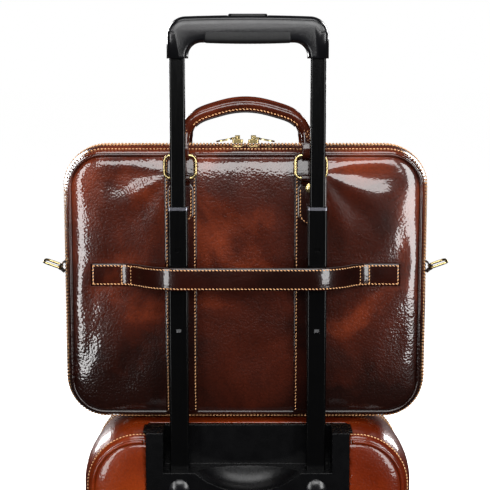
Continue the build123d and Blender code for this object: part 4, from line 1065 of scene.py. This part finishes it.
# ---------------------------------------------------------------- finishes of the carried CAD nodes
FINISH = {
    "trolley_housing": BLACK_PLASTIC, "wheel_pod": BLACK_PLASTIC, "base_plate": BLACK_PLASTIC, "foot": BLACK_PLASTIC,
    "tube_board": LINING, "tube_bracket": STEEL, "screw_cap": GREY_PLASTIC, "outer_tube": BLACK_TUBE,
    "middle_tube": BLACK_TUBE, "inner_tube": BLACK_TUBE, "collar": TUBE_RIM, "lock_tongue": STEEL,
    "grip_shell": GREY_PLASTIC, "grip_insert": SOFT_GRIP, "release_button": BLACK_PLASTIC, "release_yoke": STEEL,
    "tyre": TYRE, "hub": BLACK_PLASTIC, "axle": STEEL, "case_slider": BRASS, "back_ring": BRASS, "front_ring": BRASS,
    "zip_slider": BRASS, "zip_pull": BRASS, "side_ring": BRASS, "side_tab": BROWN_TRIM, "bag_zip": ZIP_TAPE,
    "laptop_sleeve": LINING,
}
for name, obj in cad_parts.items():
    look = next((m for key, m in FINISH.items() if name == key or name.startswith(key + "_")), None)
    if look:
        obj.data.materials.clear()
        obj.data.materials.append(look)
        for polygon in obj.data.polygons:
            polygon.material_index = 0


# ---------------------------------------------------------------- floor, lights and camera
def area_light(name, location, aim, width, height, power):
    data = bpy.data.lights.new(name, "AREA")
    data.shape = "RECTANGLE"
    data.size, data.size_y, data.energy = width, height, power
    lamp = bpy.data.objects.new(name, data)
    lamp.location = location
    lamp.rotation_euler = (Vector(aim) - Vector(location)).to_track_quat("-Z", "Y").to_euler()
    bpy.context.scene.collection.objects.link(lamp)


FLOOR_HALF = 40.0
floor = bpy.data.meshes.new("floor")
floor.from_pydata([(FLOOR_HALF * u, FLOOR_HALF * v, 0) for u, v in CORNERS], [], [(0, 1, 2, 3)])
floor_object = bpy.data.objects.new("floor", floor)
bpy.context.scene.collection.objects.link(floor_object)
pale = Look("pale_floor", Roughness=0.8, Emission_Color=(1, 1, 1, 1), Emission_Strength=0.97)
floor.materials.append(pale.finish(pale.ramp(pale.noise(2.0), (0.3, (0.86,) * 3), (0.7, (0.90,) * 3))))
floor_object.visible_diffuse = False
floor_object.visible_glossy = False

area_light("left_strip", (-0.98, -1.45, 0.80), (-0.1, 0, 0.66), 0.30, 1.2, 17)
area_light("right_strip", (1.02, -1.40, 0.95), (0.1, 0, 0.72), 0.46, 1.3, 28)
area_light("brow_strip", (0.0, -1.60, 1.36), (0, 0, 0.80), 1.2, 0.50, 20)
area_light("top_softbox", (0.0, -0.70, 2.1), (0, 0, 0.8), 1.3, 0.6, 22)
area_light("front_left", (-1.4, 1.9, 1.3), (0, 0, 0.55), 0.6, 1.5, 60)
area_light("front_right", (1.5, 1.8, 1.5), (0, 0, 0.55), 0.5, 1.5, 50)

scene = bpy.context.scene
world = bpy.data.worlds.new("studio")
world.use_nodes = True
nodes, join = world.node_tree.nodes, world.node_tree.links.new
seen = nodes["Background"]
dim = nodes.new("ShaderNodeBackground")
dim.inputs["Strength"].default_value = 0.03
for background in (seen, dim):
    background.inputs["Color"].default_value = (1, 1, 1, 1)
chosen = nodes.new("ShaderNodeMixShader")
join(nodes.new("ShaderNodeLightPath").outputs["Is Camera Ray"], chosen.inputs["Fac"])
join(dim.outputs["Background"], chosen.inputs[1])
join(seen.outputs["Background"], chosen.inputs[2])
join(chosen.outputs["Shader"], nodes["World Output"].inputs["Surface"])
scene.world = world
scene.view_settings.view_transform = "Standard"

camera = bpy.data.objects.new("camera", bpy.data.cameras.new("camera"))
camera.location = (-0.0031, -1.570, 0.9437)
camera.rotation_euler = (math.radians(82), 0, 0)
camera.data.lens = 95.5
camera.data.sensor_width = 36
scene.collection.objects.link(camera)
scene.camera = camera
